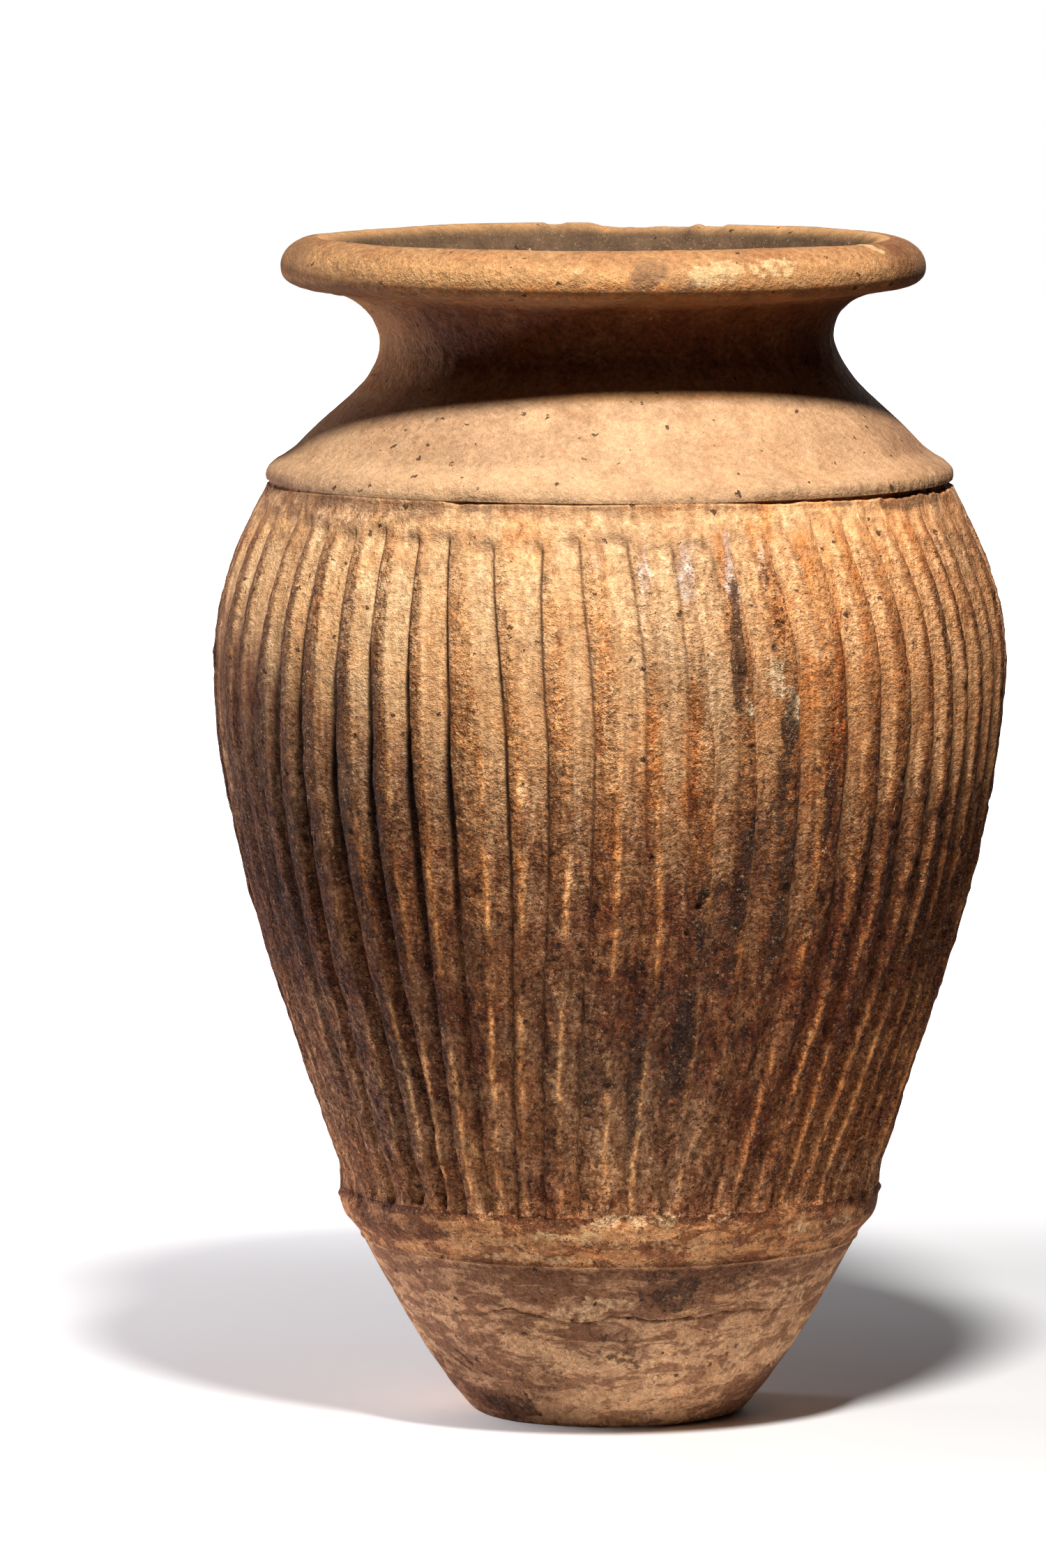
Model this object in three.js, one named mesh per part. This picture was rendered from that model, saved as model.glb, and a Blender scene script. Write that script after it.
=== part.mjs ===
// A coil-built storage jar with finger-drawn flutes, in the separate clay courses that a potter stacks.
// Units are millimetres, +Z is up, and the origin is the centre of the resting face.
import * as THREE from 'three';

// Heights of the courses, stacked from the floor upwards
const slabThickness = 24;
const footCourseHeight = 65;
const lowerWallHeight = 58;
const lowerBellyHeight = 198;
const middleBellyHeight = 165;
const upperBellyHeight = 165;
const shoulderHeight = 67.5;
const neckHeight = 61;
const rimHeight = 45.5;

// Outer radii of the foot, and how far its open joint lies inside the lower cordon
const restingRadius = 92;
const slabRadius = 116.3;
const footJointInset = 22.5;

// The belly's widest place, and how far its other stations lie inside it
const girthRadius = 286;
const girthRise = 35;
const lowerJointInset = 35;
const middleJointInset = 2.3;
const upperBodyInset = 7.8;
const upperBodyRise = 90;
const creaseRadius = 245.5;

// Wall, and the layer of slip that lutes one piece to the next
const wallThickness = 18;
const lutingGap = 0.3;

// Lower cordon: a band bedded over the joint between the lower wall and the belly
const cordonTopRadius = 195.2;
const cordonDrop = 18;
const cordonRise = 19;
const cordonFlare = 15.7;
const cordonBed = 5;

// Shoulder cordon: a lip pressed into the angle between belly and shoulder
const lipOverhang = 1.2;
const lipFaceHeight = 6;
const lipSeatWidth = 6.5;
const lipBandHeight = 23;
const lipBandInset = 18;
const lipBandEdge = 2.5;

// Neck and rim, each radius taken from the one below it
const shoulderInset = 47.5;
const waistInset = 16.7;
const waistRise = 34.5;
const rimJointFlare = 14.7;
const ledgeWidth = 19;
const ledgeRise = 7.8;
const crestOffset = 29;
const rollWidth = 24;
const rollDepth = 20.5;

// Flutes, drawn upright with one finger
const fluteCount = 56;
const fluteDepth = 5;
const fluteFootRise = 2;
const fluteRunOut = 22;
const plainBandHeight = 20;

// One flute's section: shares of its pitch, and of its depth
const fluteSectionShares = [[0, 0], [0.4, 0], [0.57, 1], [0.83, 1]];
const plainSectionShares = [[0, 0]];
const runOutShare = 0.35;
const runOutDepthShare = 0.7;

// Outlines as shares of height and of width, from the lower edge to the upper
const slabEdgeShares = [[0, 0], [0.1, 0.29], [0.52, 0.63], [1, 1]];
const lowerCordonShares = [[0, 0], [0.18, 0.29], [0.35, 0.64], [0.54, 0.87], [0.78, 0.96], [1, 1]];
const lipBandShares = [[0.39, 0.95], [0.55, 0.78], [0.78, 0.35], [1, 0]];
const neckShares = [0.28, 0.8];
const rollStartAngle = THREE.MathUtils.degToRad(-38);
const rollEndAngle = THREE.MathUtils.degToRad(122);
const rollSteps = 5;
const innerRimShare = 0.5;
const innerShoulderShare = 0.5;

// Heights of the joints above the floor
const footJoint = slabThickness + footCourseHeight;
const cordonJoint = footJoint + lowerWallHeight;
const lowerJoint = cordonJoint + lowerBellyHeight;
const middleJoint = lowerJoint + middleBellyHeight;
const crease = middleJoint + upperBellyHeight;
const neckJoint = crease + shoulderHeight;
const rimJoint = neckJoint + neckHeight;
const crest = rimJoint + rimHeight;
const cordonFoot = cordonJoint - cordonDrop;
const cordonTop = cordonJoint + cordonRise;
const halfGap = lutingGap / 2;

// Radii that follow from the lower cordon and from the crease under the shoulder
const cordonFootRadius = cordonTopRadius - cordonFlare;
const footJointRadius = cordonFootRadius - footJointInset;
const lipBandTopRadius = creaseRadius - lipBandInset;
const neckJointRadius = lipBandTopRadius - shoulderInset;
const waistRadius = neckJointRadius - waistInset;
const rimJointRadius = waistRadius + rimJointFlare;
const ledgeRadius = rimJointRadius + ledgeWidth;
const crestRadius = rimJointRadius + crestOffset;

// Stations of the body's outer wall, as height and radius
const bodyStations = [
  [slabThickness, slabRadius],
  [footJoint, footJointRadius],
  [cordonFoot, cordonFootRadius],
  [cordonTop, cordonTopRadius],
  [lowerJoint, girthRadius - lowerJointInset],
  [middleJoint, girthRadius - middleJointInset],
  [middleJoint + girthRise, girthRadius],
  [middleJoint + upperBodyRise, girthRadius - upperBodyInset],
  [crease, creaseRadius],
];

// Slope of the body's outer wall at a station, as radius over height
function stationSlope(index) {
  const before = bodyStations[Math.max(index - 1, 0)];
  const after = bodyStations[Math.min(index + 1, bodyStations.length - 1)];
  return (after[1] - before[1]) / (after[0] - before[0]);
}

// Radius and slope of the body's outer wall at a height, on a smooth curve through the stations
function bodyWall(height) {
  const last = bodyStations.length - 2;
  const found = bodyStations.findIndex((station) => station[0] > height) - 1;
  const index = found < 0 ? last : Math.min(found, last);
  const [lowHeight, lowRadius] = bodyStations[index];
  const [highHeight, highRadius] = bodyStations[index + 1];
  const span = highHeight - lowHeight;
  const t = (height - lowHeight) / span;
  const lowSlope = stationSlope(index);
  const highSlope = stationSlope(index + 1);
  const rise = highRadius - lowRadius;
  const lowBend = lowSlope * span - rise;
  const highBend = rise - highSlope * span;
  const bend = lowBend * (1 - t) + highBend * t;
  const radius = lowRadius + rise * t + t * (1 - t) * bend;
  const slope = (rise + (1 - 2 * t) * bend + t * (1 - t) * (highBend - lowBend)) / span;
  return { radius, slope };
}

// The point square through the wall from an outer point, for a wall of the given slope
function throughWall(radius, height, slope) {
  const length = Math.hypot(1, slope);
  return new THREE.Vector2(radius - wallThickness / length, height + wallThickness * slope / length);
}

// A joint across the wall: its outer and inner edge, and the way up along the wall
function jointAcross(radius, height, slope) {
  const outer = new THREE.Vector2(radius, height);
  const inner = throughWall(radius, height, slope);
  const up = new THREE.Vector2(slope, 1).normalize();
  return { outer, inner, up };
}

// A level joint between two given radii
function levelJoint(outerRadius, innerRadius, height) {
  const outer = new THREE.Vector2(outerRadius, height);
  const inner = new THREE.Vector2(innerRadius, height);
  return { outer, inner, up: new THREE.Vector2(0, 1) };
}

// The same joint moved up or down by half the luting gap
const above = ({ outer, inner, up }) => [outer, inner].map((edge) => edge.clone().addScaledVector(up, halfGap));
const below = ({ outer, inner, up }) => [outer, inner].map((edge) => edge.clone().addScaledVector(up, -halfGap));

// Inner wall opposite an outer height of the body
function innerBody(height) {
  const { radius, slope } = bodyWall(height);
  return throughWall(radius, height, slope);
}

// Points on an outline given in shares, from a low outer corner to a high one
function sharedOutline(shares, lowHeight, highHeight, lowRadius, highRadius) {
  return shares.map(([heightShare, widthShare]) => new THREE.Vector2(
    THREE.MathUtils.lerp(lowRadius, highRadius, widthShare),
    THREE.MathUtils.lerp(lowHeight, highHeight, heightShare),
  ));
}

// Joints between the wall's courses
function bodyJoint(height) {
  const { radius, slope } = bodyWall(height);
  return jointAcross(radius, height, slope);
}

const slabWall = bodyWall(slabThickness);
const slabInner = throughWall(slabRadius, slabThickness, slabWall.slope);
const floorRadius = slabInner.x - slabWall.slope * (slabInner.y - slabThickness);
const slabSeat = levelJoint(slabRadius, floorRadius, slabThickness);
const footSeat = bodyJoint(footJoint);
const lowerSeat = bodyJoint(lowerJoint);
const middleSeat = bodyJoint(middleJoint);

// The joint under the lower cordon lies in the cordon's bed
const bedFootRadius = cordonFootRadius - cordonBed;
const bedTopRadius = cordonTopRadius - cordonBed;
const bedSlope = (bedTopRadius - bedFootRadius) / (cordonTop - cordonFoot);
const bedJointRadius = bedFootRadius + bedSlope * cordonDrop;
const cordonSeat = {
  outer: new THREE.Vector2(bedJointRadius, cordonJoint),
  inner: throughWall(bedJointRadius + cordonBed, cordonJoint, bedSlope),
  up: new THREE.Vector2(bedSlope, 1).normalize(),
};

// The shoulder stands on the belly's level top, and the lip fills the angle outside it
const creaseWall = bodyWall(crease);
const creaseInnerRadius = throughWall(creaseRadius, crease, creaseWall.slope).x;
const bellySeat = levelJoint(creaseRadius, creaseInnerRadius, crease);
const lipSeatRadius = creaseRadius - lipSeatWidth;
const lipBandTop = crease + lipBandHeight;
const lipBedTopRadius = lipBandTopRadius - lipBandEdge;
const shoulderSeat = levelJoint(lipSeatRadius, creaseInnerRadius, crease);

// Neck: two half parabolas that meet at the waist
const waist = neckJoint + waistRise;
const upperNeckHeight = rimJoint - waist;
const neckFootSlope = -2 * (neckJointRadius - waistRadius) / waistRise;
const neckHeadSlope = 2 * (rimJointRadius - waistRadius) / upperNeckHeight;
const neckSeat = jointAcross(neckJointRadius, neckJoint, neckFootSlope);
const rimSeat = jointAcross(rimJointRadius, rimJoint, neckHeadSlope);

function neckWall(height) {
  const lower = height < waist;
  const reach = lower ? waistRise : upperNeckHeight;
  const flare = (lower ? neckJointRadius : rimJointRadius) - waistRadius;
  const t = (height - waist) / reach;
  return { radius: waistRadius + flare * t * t, slope: 2 * flare * t / reach };
}

// A turned body from a closed section: outer points upwards, then inner points downwards
function turned(outer, inner) {
  const section = [...outer, ...inner];
  if (inner.length > 0) section.push(outer[0].clone());
  return new THREE.LatheGeometry(section, fluteCount).rotateX(Math.PI / 2);
}

// A ring of the fluted wall: its radius on the crests, its height and how deep its flutes are
function ring(radius, height, depthShare) {
  const plain = depthShare === undefined;
  const shares = plain ? plainSectionShares : fluteSectionShares;
  const depth = plain ? 0 : fluteDepth * depthShare;
  return { radius, height, shares, depth };
}

const plainRing = (point) => ring(point.x, point.y);
const fullRing = (point) => ring(point.x, point.y, 1);

function ringPoint({ radius, height, shares, depth }, flute, step) {
  const [pitchShare, depthShare] = shares[step % shares.length];
  const angle = (flute + pitchShare + Math.floor(step / shares.length)) * (2 * Math.PI / fluteCount);
  const reach = radius - depth * depthShare;
  return [reach * Math.sin(angle), -reach * Math.cos(angle), height];
}

// The middle of the side that starts at a step, as a share of the pitch
function sideMiddle({ shares }, step) {
  const start = shares[step][0];
  const end = step + 1 < shares.length ? shares[step + 1][0] : 1;
  return (start + end) / 2;
}

// Triangles between two rings over one flute, whatever number of sides each ring has
function stitch(lowRing, highRing, flute, positions) {
  let low = 0;
  let high = 0;
  while (low < lowRing.shares.length || high < highRing.shares.length) {
    const highDone = high === highRing.shares.length;
    const lowDone = low === lowRing.shares.length;
    const takeLow = highDone || (!lowDone && sideMiddle(lowRing, low) <= sideMiddle(highRing, high));
    const lowPoint = ringPoint(lowRing, flute, low);
    const highPoint = ringPoint(highRing, flute, high);
    if (takeLow) low += 1;
    else high += 1;
    const nextPoint = takeLow ? ringPoint(lowRing, flute, low) : ringPoint(highRing, flute, high);
    positions.push(...lowPoint, ...nextPoint, ...highPoint);
  }
}

// A closed body from rings: up the outside and down the inside
function flutedBody(rings) {
  const positions = [];
  rings.forEach((current, index) => {
    const next = rings[(index + 1) % rings.length];
    for (let flute = 0; flute < fluteCount; flute += 1) stitch(current, next, flute, positions);
  });
  const geometry = new THREE.BufferGeometry();
  geometry.setAttribute('position', new THREE.Float32BufferAttribute(positions, 3));
  geometry.computeVertexNormals();
  return geometry;
}

// Full-depth rings at even steps between two heights, both ends left out
function flutedRings(lowHeight, highHeight, steps) {
  const heights = Array.from({ length: steps - 1 }, (_, i) => lowHeight + (highHeight - lowHeight) * (i + 1) / steps);
  return heights.map((height) => ring(bodyWall(height).radius, height, 1));
}

function innerRings(...heights) {
  return heights.map((height) => plainRing(innerBody(height)));
}

function baseSlab() {
  const top = slabThickness - halfGap;
  const edge = sharedOutline(slabEdgeShares, 0, top, restingRadius, slabRadius);
  return turned([new THREE.Vector2(0, 0), ...edge, new THREE.Vector2(0, top)], []);
}

function footCourse() {
  const [outerFoot, innerFoot] = above(slabSeat);
  const [outerHead, innerHead] = below(footSeat);
  const middle = slabThickness + footCourseHeight / 2;
  const outerMiddle = new THREE.Vector2(bodyWall(middle).radius, middle);
  return turned([outerFoot, outerMiddle, outerHead], [innerHead, innerBody(middle), innerFoot]);
}

function lowerWallCourse() {
  const [outerFoot, innerFoot] = above(footSeat);
  const [outerHead, innerHead] = below(cordonSeat);
  const step = new THREE.Vector2(cordonFootRadius, cordonFoot - halfGap);
  const bed = new THREE.Vector2(bedFootRadius, cordonFoot - halfGap);
  return turned([outerFoot, step, bed, outerHead], [innerHead, innerBody(cordonFoot), innerFoot]);
}

function lowerCordon() {
  const foot = cordonFoot + halfGap;
  const head = cordonTop - halfGap;
  const outer = sharedOutline(lowerCordonShares, foot, head, cordonFootRadius, cordonTopRadius);
  const innerHead = new THREE.Vector2(bedTopRadius + lutingGap, head);
  const innerFoot = new THREE.Vector2(bedFootRadius + lutingGap, foot);
  return turned(outer, [innerHead, innerFoot]);
}

function lowerBellyCourse() {
  const [outerFoot, innerFoot] = above(cordonSeat);
  const [outerHead, innerHead] = below(lowerSeat);
  const ledge = cordonTop + halfGap;
  const fluteFoot = cordonTop + fluteFootRise;
  const rounded = fluteFoot + fluteRunOut * runOutShare;
  const full = fluteFoot + fluteRunOut;
  const span = lowerJoint - full;
  return flutedBody([
    plainRing(outerFoot),
    ring(bedTopRadius, ledge),
    ring(cordonTopRadius, ledge),
    ring(bodyWall(fluteFoot).radius, fluteFoot),
    ring(bodyWall(rounded).radius, rounded, runOutDepthShare),
    ring(bodyWall(full).radius, full, 1),
    ...flutedRings(full, lowerJoint, 2),
    fullRing(outerHead),
    plainRing(innerHead),
    ...innerRings(lowerJoint - span / 2, full),
    plainRing(innerFoot),
  ]);
}

function middleBellyCourse() {
  const [outerFoot, innerFoot] = above(lowerSeat);
  const [outerHead, innerHead] = below(middleSeat);
  return flutedBody([
    fullRing(outerFoot),
    ...flutedRings(lowerJoint, middleJoint, 3),
    fullRing(outerHead),
    plainRing(innerHead),
    ...innerRings(lowerJoint + middleBellyHeight / 2),
    plainRing(innerFoot),
  ]);
}

function upperBellyCourse() {
  const [outerFoot, innerFoot] = above(middleSeat);
  const [outerHead, innerHead] = below(bellySeat);
  const fluteHead = crease - plainBandHeight;
  const rounded = fluteHead - fluteRunOut * runOutShare;
  const full = fluteHead - fluteRunOut;
  const shoulder = middleJoint + upperBodyRise;
  return flutedBody([
    fullRing(outerFoot),
    ...flutedRings(middleJoint, full, 3),
    ring(bodyWall(full).radius, full, 1),
    ring(bodyWall(rounded).radius, rounded, runOutDepthShare),
    ring(bodyWall(fluteHead).radius, fluteHead),
    plainRing(outerHead),
    plainRing(innerHead),
    ...innerRings(shoulder, middleJoint + girthRise),
    plainRing(innerFoot),
  ]);
}

function shoulderCordon() {
  const foot = crease + halfGap;
  const head = lipBandTop - halfGap;
  const lipRadius = creaseRadius + lipOverhang;
  const lipFoot = new THREE.Vector2(lipRadius, foot);
  const lipHead = new THREE.Vector2(lipRadius, foot + lipFaceHeight);
  const band = sharedOutline(lipBandShares, foot, head, lipBandTopRadius, lipRadius);
  const innerHead = new THREE.Vector2(lipBedTopRadius + lutingGap, head);
  const innerFoot = new THREE.Vector2(lipSeatRadius + lutingGap, foot);
  return turned([lipFoot, lipHead, ...band], [innerHead, innerFoot]);
}

function shoulderCourse() {
  const [outerFoot, innerFoot] = above(shoulderSeat);
  const [outerHead, innerHead] = below(neckSeat);
  const bed = new THREE.Vector2(lipBedTopRadius, lipBandTop + halfGap);
  const step = new THREE.Vector2(lipBandTopRadius, lipBandTop + halfGap);
  const innerMiddle = innerFoot.clone().lerp(innerHead, innerShoulderShare);
  return turned([outerFoot, bed, step, outerHead], [innerHead, innerMiddle, innerFoot]);
}

function neckCollar() {
  const [outerFoot, innerFoot] = above(neckSeat);
  const [outerHead, innerHead] = below(rimSeat);
  const heights = neckShares.map((share) => THREE.MathUtils.lerp(neckJoint, rimJoint, share));
  const walls = [...heights, waist].sort((a, b) => a - b);
  const outer = walls.map((height) => new THREE.Vector2(neckWall(height).radius, height));
  const inner = walls.map((height) => throughWall(neckWall(height).radius, height, neckWall(height).slope));
  return turned([outerFoot, ...outer, outerHead], [innerHead, ...inner.reverse(), innerFoot]);
}

function rimRing() {
  const [outerFoot, innerFoot] = above(rimSeat);
  const ledge = new THREE.Vector2(ledgeRadius, rimJoint + ledgeRise);
  const roll = Array.from({ length: rollSteps + 1 }, (_, i) => {
    const angle = THREE.MathUtils.lerp(rollStartAngle, rollEndAngle, i / rollSteps);
    return new THREE.Vector2(
      crestRadius + rollWidth * Math.cos(angle),
      crest - rollDepth + rollDepth * Math.sin(angle),
    );
  });
  const innerMiddle = roll[rollSteps].clone().lerp(innerFoot, innerRimShare);
  return turned([outerFoot, ledge, ...roll], [innerMiddle, innerFoot]);
}

const clays = {
  pale: { color: 0xd0a473, roughness: 0.86, metalness: 0 },
  orange: { color: 0xbf854f, roughness: 0.84, metalness: 0 },
  brown: { color: 0xa06c44, roughness: 0.9, metalness: 0 },
  dark: { color: 0x8c6648, roughness: 0.88, metalness: 0 },
};

const jar = new THREE.Group();

function addPiece(name, geometry, clay) {
  const mesh = new THREE.Mesh(geometry, new THREE.MeshStandardMaterial(clay));
  mesh.name = name;
  jar.add(mesh);
}

addPiece('base_slab', baseSlab(), clays.dark);
addPiece('foot_course', footCourse(), clays.dark);
addPiece('lower_wall_course', lowerWallCourse(), clays.dark);
addPiece('lower_cordon', lowerCordon(), clays.orange);
addPiece('lower_belly_course', lowerBellyCourse(), clays.brown);
addPiece('middle_belly_course', middleBellyCourse(), clays.brown);
addPiece('upper_belly_course', upperBellyCourse(), clays.brown);
addPiece('shoulder_cordon', shoulderCordon(), clays.pale);
addPiece('shoulder_course', shoulderCourse(), clays.pale);
addPiece('neck_collar', neckCollar(), clays.orange);
addPiece('rim_ring', rimRing(), clays.orange);

export default jar;
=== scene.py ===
import math

import bpy
import numpy as np
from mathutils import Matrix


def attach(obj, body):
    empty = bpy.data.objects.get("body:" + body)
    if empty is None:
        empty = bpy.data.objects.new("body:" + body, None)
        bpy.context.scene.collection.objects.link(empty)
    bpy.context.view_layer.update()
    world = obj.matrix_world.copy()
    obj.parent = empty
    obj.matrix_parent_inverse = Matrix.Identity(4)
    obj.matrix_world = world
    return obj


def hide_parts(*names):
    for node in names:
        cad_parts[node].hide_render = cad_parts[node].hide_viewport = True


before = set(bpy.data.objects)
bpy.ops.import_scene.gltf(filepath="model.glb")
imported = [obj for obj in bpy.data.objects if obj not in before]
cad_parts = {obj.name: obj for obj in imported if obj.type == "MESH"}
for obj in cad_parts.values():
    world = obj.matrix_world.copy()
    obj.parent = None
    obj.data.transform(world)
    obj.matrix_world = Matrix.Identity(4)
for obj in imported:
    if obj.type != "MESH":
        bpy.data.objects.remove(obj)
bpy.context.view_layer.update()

# Lengths below are in millimetres and angles in degrees; meshes are written in metres
MM = 0.001

# Angle 0 faces the camera and grows to the right; columns lie close together in front, wider apart behind
FIRST_ANGLE = -60.0
FRONT_HALF = 96.0
FRONT_COLUMNS = 1150
BACK_COLUMNS = 400
INNER_SHARE = 5

# Heights of the joints between the courses
SLAB_TOP = 24.0
FOOT_JOINT = 89.0
CORDON_FOOT = 129.0
CORDON_JOINT = 147.0
CORDON_TOP = 166.0
LOWER_JOINT = 345.0
MIDDLE_JOINT = 510.0
CREASE = 675.0
LIP_TOP = 698.0
NECK_JOINT = 742.5
RIM_JOINT = 803.5
FLOOR_TOP = 24.0

# The rim was set a little to one side of the body
RIM_SHIFT = -4.5

# Where the fluting, the underside of the rim, the lip, the belly and the neck fade in and out, as heights
FLUTED_HEIGHTS = (150, 168, 666, 676)
UNDER_RIM_HEIGHTS = (742, 760, 812, 820)
LIP_HEIGHTS = (CREASE - 0.2, CREASE + 1.2, 682, 692)
BELLY_HEIGHTS = (168, 200, 672, 678)
NECK_HEIGHTS = (738, 765, 806, 822)

# Outer outline as radius and height, from the resting face up to the crest of the rim
OUTER = [
    (90, 0), (94.5, 0.4), (98.4, 2.4), (103.3, 7.5), (107.4, 12.6), (111.7, 17.7), (115.9, 23), (122.6, 33),
    (129.4, 42.4), (136.4, 53.3), (142.8, 63.9), (148.6, 73.8), (154.2, 84), (159.8, 94.2), (165.5, 104.3),
    (171.1, 114.6), (176.2, 124), (178.3, 127.6), (179.6, 130.4), (183.2, 135.8), (188.2, 141.4),
    (191.2, 145.1), (193.1, 149.6), (194.3, 158.8), (195.3, 168.8), (196.3, 177), (198.9, 185.3),
    (202.5, 195.3), (209.1, 215.4), (215.5, 235.8), (221.9, 256.3), (228.6, 276.5), (235.6, 296.8),
    (242.4, 317.2), (248.7, 337.1), (254.6, 357.5), (260.1, 377.6), (265.2, 397.8), (270, 417.9),
    (274.2, 438.1), (278, 458.2), (281.1, 478.2), (283.4, 498.1), (285, 518.4), (285.8, 536), (285.9, 550),
    (285, 564), (282.9, 578.4), (278.6, 598.4), (272.4, 618.5), (264.4, 638.3), (254.1, 658.3), (249.4, 666),
    (246.9, 671.5), (246.4, 675), (246.9, 679), (246, 683.4), (242.3, 687.6), (234.4, 692.6), (227, 698),
    (216.6, 708.5), (206.2, 718.5), (195, 728.5), (184.2, 738.5), (174.9, 748.7), (168.3, 759.2),
    (164.3, 769.4), (163.3, 777.5), (165, 785.5), (168.4, 792.5), (173.4, 798.7), (180.6, 804.8),
    (192, 809.6), (205, 811.9), (216.5, 813.9), (225.6, 817.2), (230.2, 822), (231.4, 828), (230.1, 834.8),
    (226, 841), (219.5, 845.8), (212, 848.5), (206, 849),
]

# Inner outline as radius and height, from the crest down to the floor inside
INNER = [
    (206, 849), (199, 847.6), (192.5, 843.8), (187.5, 837.5), (181, 829.5), (172, 820.5), (161.5, 811),
    (152.5, 801), (146.6, 789.5), (145.2, 777), (147.2, 764), (153.2, 750), (163, 736.5), (180, 719.5),
    (197, 702.5), (213, 688.5), (227.8, 675), (238.5, 655), (248.5, 632), (257, 607), (263.5, 580),
    (267.3, 550), (266.8, 520), (264.5, 490), (260.3, 460), (253.8, 430), (246, 400), (236.5, 368),
    (226.4, 335), (215.5, 300), (203.6, 263), (192, 226), (181.8, 195), (177.2, 176), (171, 153),
    (158.5, 130), (145.2, 104), (132.5, 80), (118, 57), (106, 39), (98, 26.5), (92, 24),
]


# Smooth noise in space, the same on every run

def lattice(ix, iy, iz, seed):
    mixed = (ix * 374761393 + iy * 668265263 + iz * 1440662683 + seed * 974634777) & 0xFFFFFFFF
    mixed = ((mixed ^ (mixed >> 13)) * 1274126177) & 0xFFFFFFFF
    mixed = mixed ^ (mixed >> 16)
    return (mixed & 0xFFFFFF) / 16777215.0


def noise(x, y, z, size, seed):
    """Smooth noise from -1 to 1 with cells of the given size."""
    cells = []
    shares = []
    for value in (x, y, z):
        scaled = np.asarray(value, dtype=float) / size
        low = np.floor(scaled)
        part = scaled - low
        cells.append(low.astype(np.int64))
        shares.append(part * part * part * (part * (part * 6 - 15) + 10))
    total = 0.0
    for corner in range(8):
        weight = 1.0
        place = []
        for axis in range(3):
            far = corner >> (2 - axis) & 1
            weight = weight * (shares[axis] if far else 1 - shares[axis])
            place.append(cells[axis] + far)
        total = total + weight * lattice(*place, seed)
    return total * 2 - 1


def layered(x, y, z, size, seed, layers=3):
    total = 0.0
    weight = 1.0
    for layer in range(layers):
        total = total + weight * noise(x, y, z, size / 2 ** layer, seed + 17 * layer)
        weight *= 0.5
    return total


def fade(low, high, value):
    """A soft step from 0 at one value to 1 at another, which may be the lower one."""
    t = np.clip((value - low) / (high - low), 0, 1)
    return t * t * (3 - 2 * t)


def bell(value, centre, half):
    return np.exp(-((value - centre) / half) ** 2)


def band(value, start, full, wane, end):
    """1 between two soft edges and 0 beyond them."""
    return fade(start, full, value) * (1 - fade(wane, end, value))


def smooth_path(at, places, values):
    """A smooth curve through values at rising places, level beyond both ends."""
    places = np.asarray(places, dtype=float)
    values = np.asarray(values, dtype=float)
    slopes = np.gradient(values, places)
    at = np.clip(at, places[0], places[-1])
    index = np.clip(np.searchsorted(places, at) - 1, 0, len(places) - 2)
    span = places[index + 1] - places[index]
    t = (at - places[index]) / span
    low = values[index]
    high = values[index + 1]
    return (low * (1 + 2 * t) * (1 - t) ** 2 + high * t * t * (3 - 2 * t)
            + slopes[index] * span * t * (1 - t) ** 2 - slopes[index + 1] * span * t * t * (1 - t))


# Outlines as dense curves with their outward normals

CURVE_STEP = 0.1
NORMAL_REACH = 10


def dense_curve(points):
    points = np.array(points, dtype=float)
    chord = np.r_[0, np.cumsum(np.hypot(*np.diff(points, axis=0).T))]
    along = np.arange(0, chord[-1], CURVE_STEP)
    radius = smooth_path(along, chord, points[:, 0])
    height = smooth_path(along, chord, points[:, 1])
    slope_r = np.gradient(radius)
    slope_h = np.gradient(height)
    length = np.hypot(slope_r, slope_h)
    kernel = np.ones(2 * NORMAL_REACH + 1) / (2 * NORMAL_REACH + 1)
    normals = []
    for part in (slope_h / length, -slope_r / length):
        padded = np.r_[[part[0]] * NORMAL_REACH, part, [part[-1]] * NORMAL_REACH]
        normals.append(np.convolve(padded, kernel, "valid"))
    along = np.r_[0, np.cumsum(np.hypot(np.diff(radius), np.diff(height)))]
    return {"s": along, "r": radius, "z": height, "nr": normals[0], "nz": normals[1]}


outer_curve = dense_curve(OUTER)
inner_curve = dense_curve(INNER)


def curve_at(curve, s):
    return [np.interp(s, curve["s"], curve[key]) for key in ("r", "z", "nr", "nz")]


def at(height):
    """How far along the outer outline a height is."""
    return float(np.interp(height, outer_curve["z"], outer_curve["s"]))


def inner_place(height):
    return float(np.interp(-height, -inner_curve["z"], inner_curve["s"]))


front = np.arange(FRONT_COLUMNS) * (2 * FRONT_HALF / FRONT_COLUMNS) - FRONT_HALF
back = FRONT_HALF + np.arange(BACK_COLUMNS) * ((360 - 2 * FRONT_HALF) / BACK_COLUMNS)
all_angles = np.r_[front, back]
fine_angles = np.sort(np.where(all_angles < FIRST_ANGLE, all_angles + 360, all_angles))
coarse_angles = fine_angles[::INNER_SHARE]


def wrapped(angle):
    """The same angle between -180 and 180."""
    return (angle + 180) % 360 - 180


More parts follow.
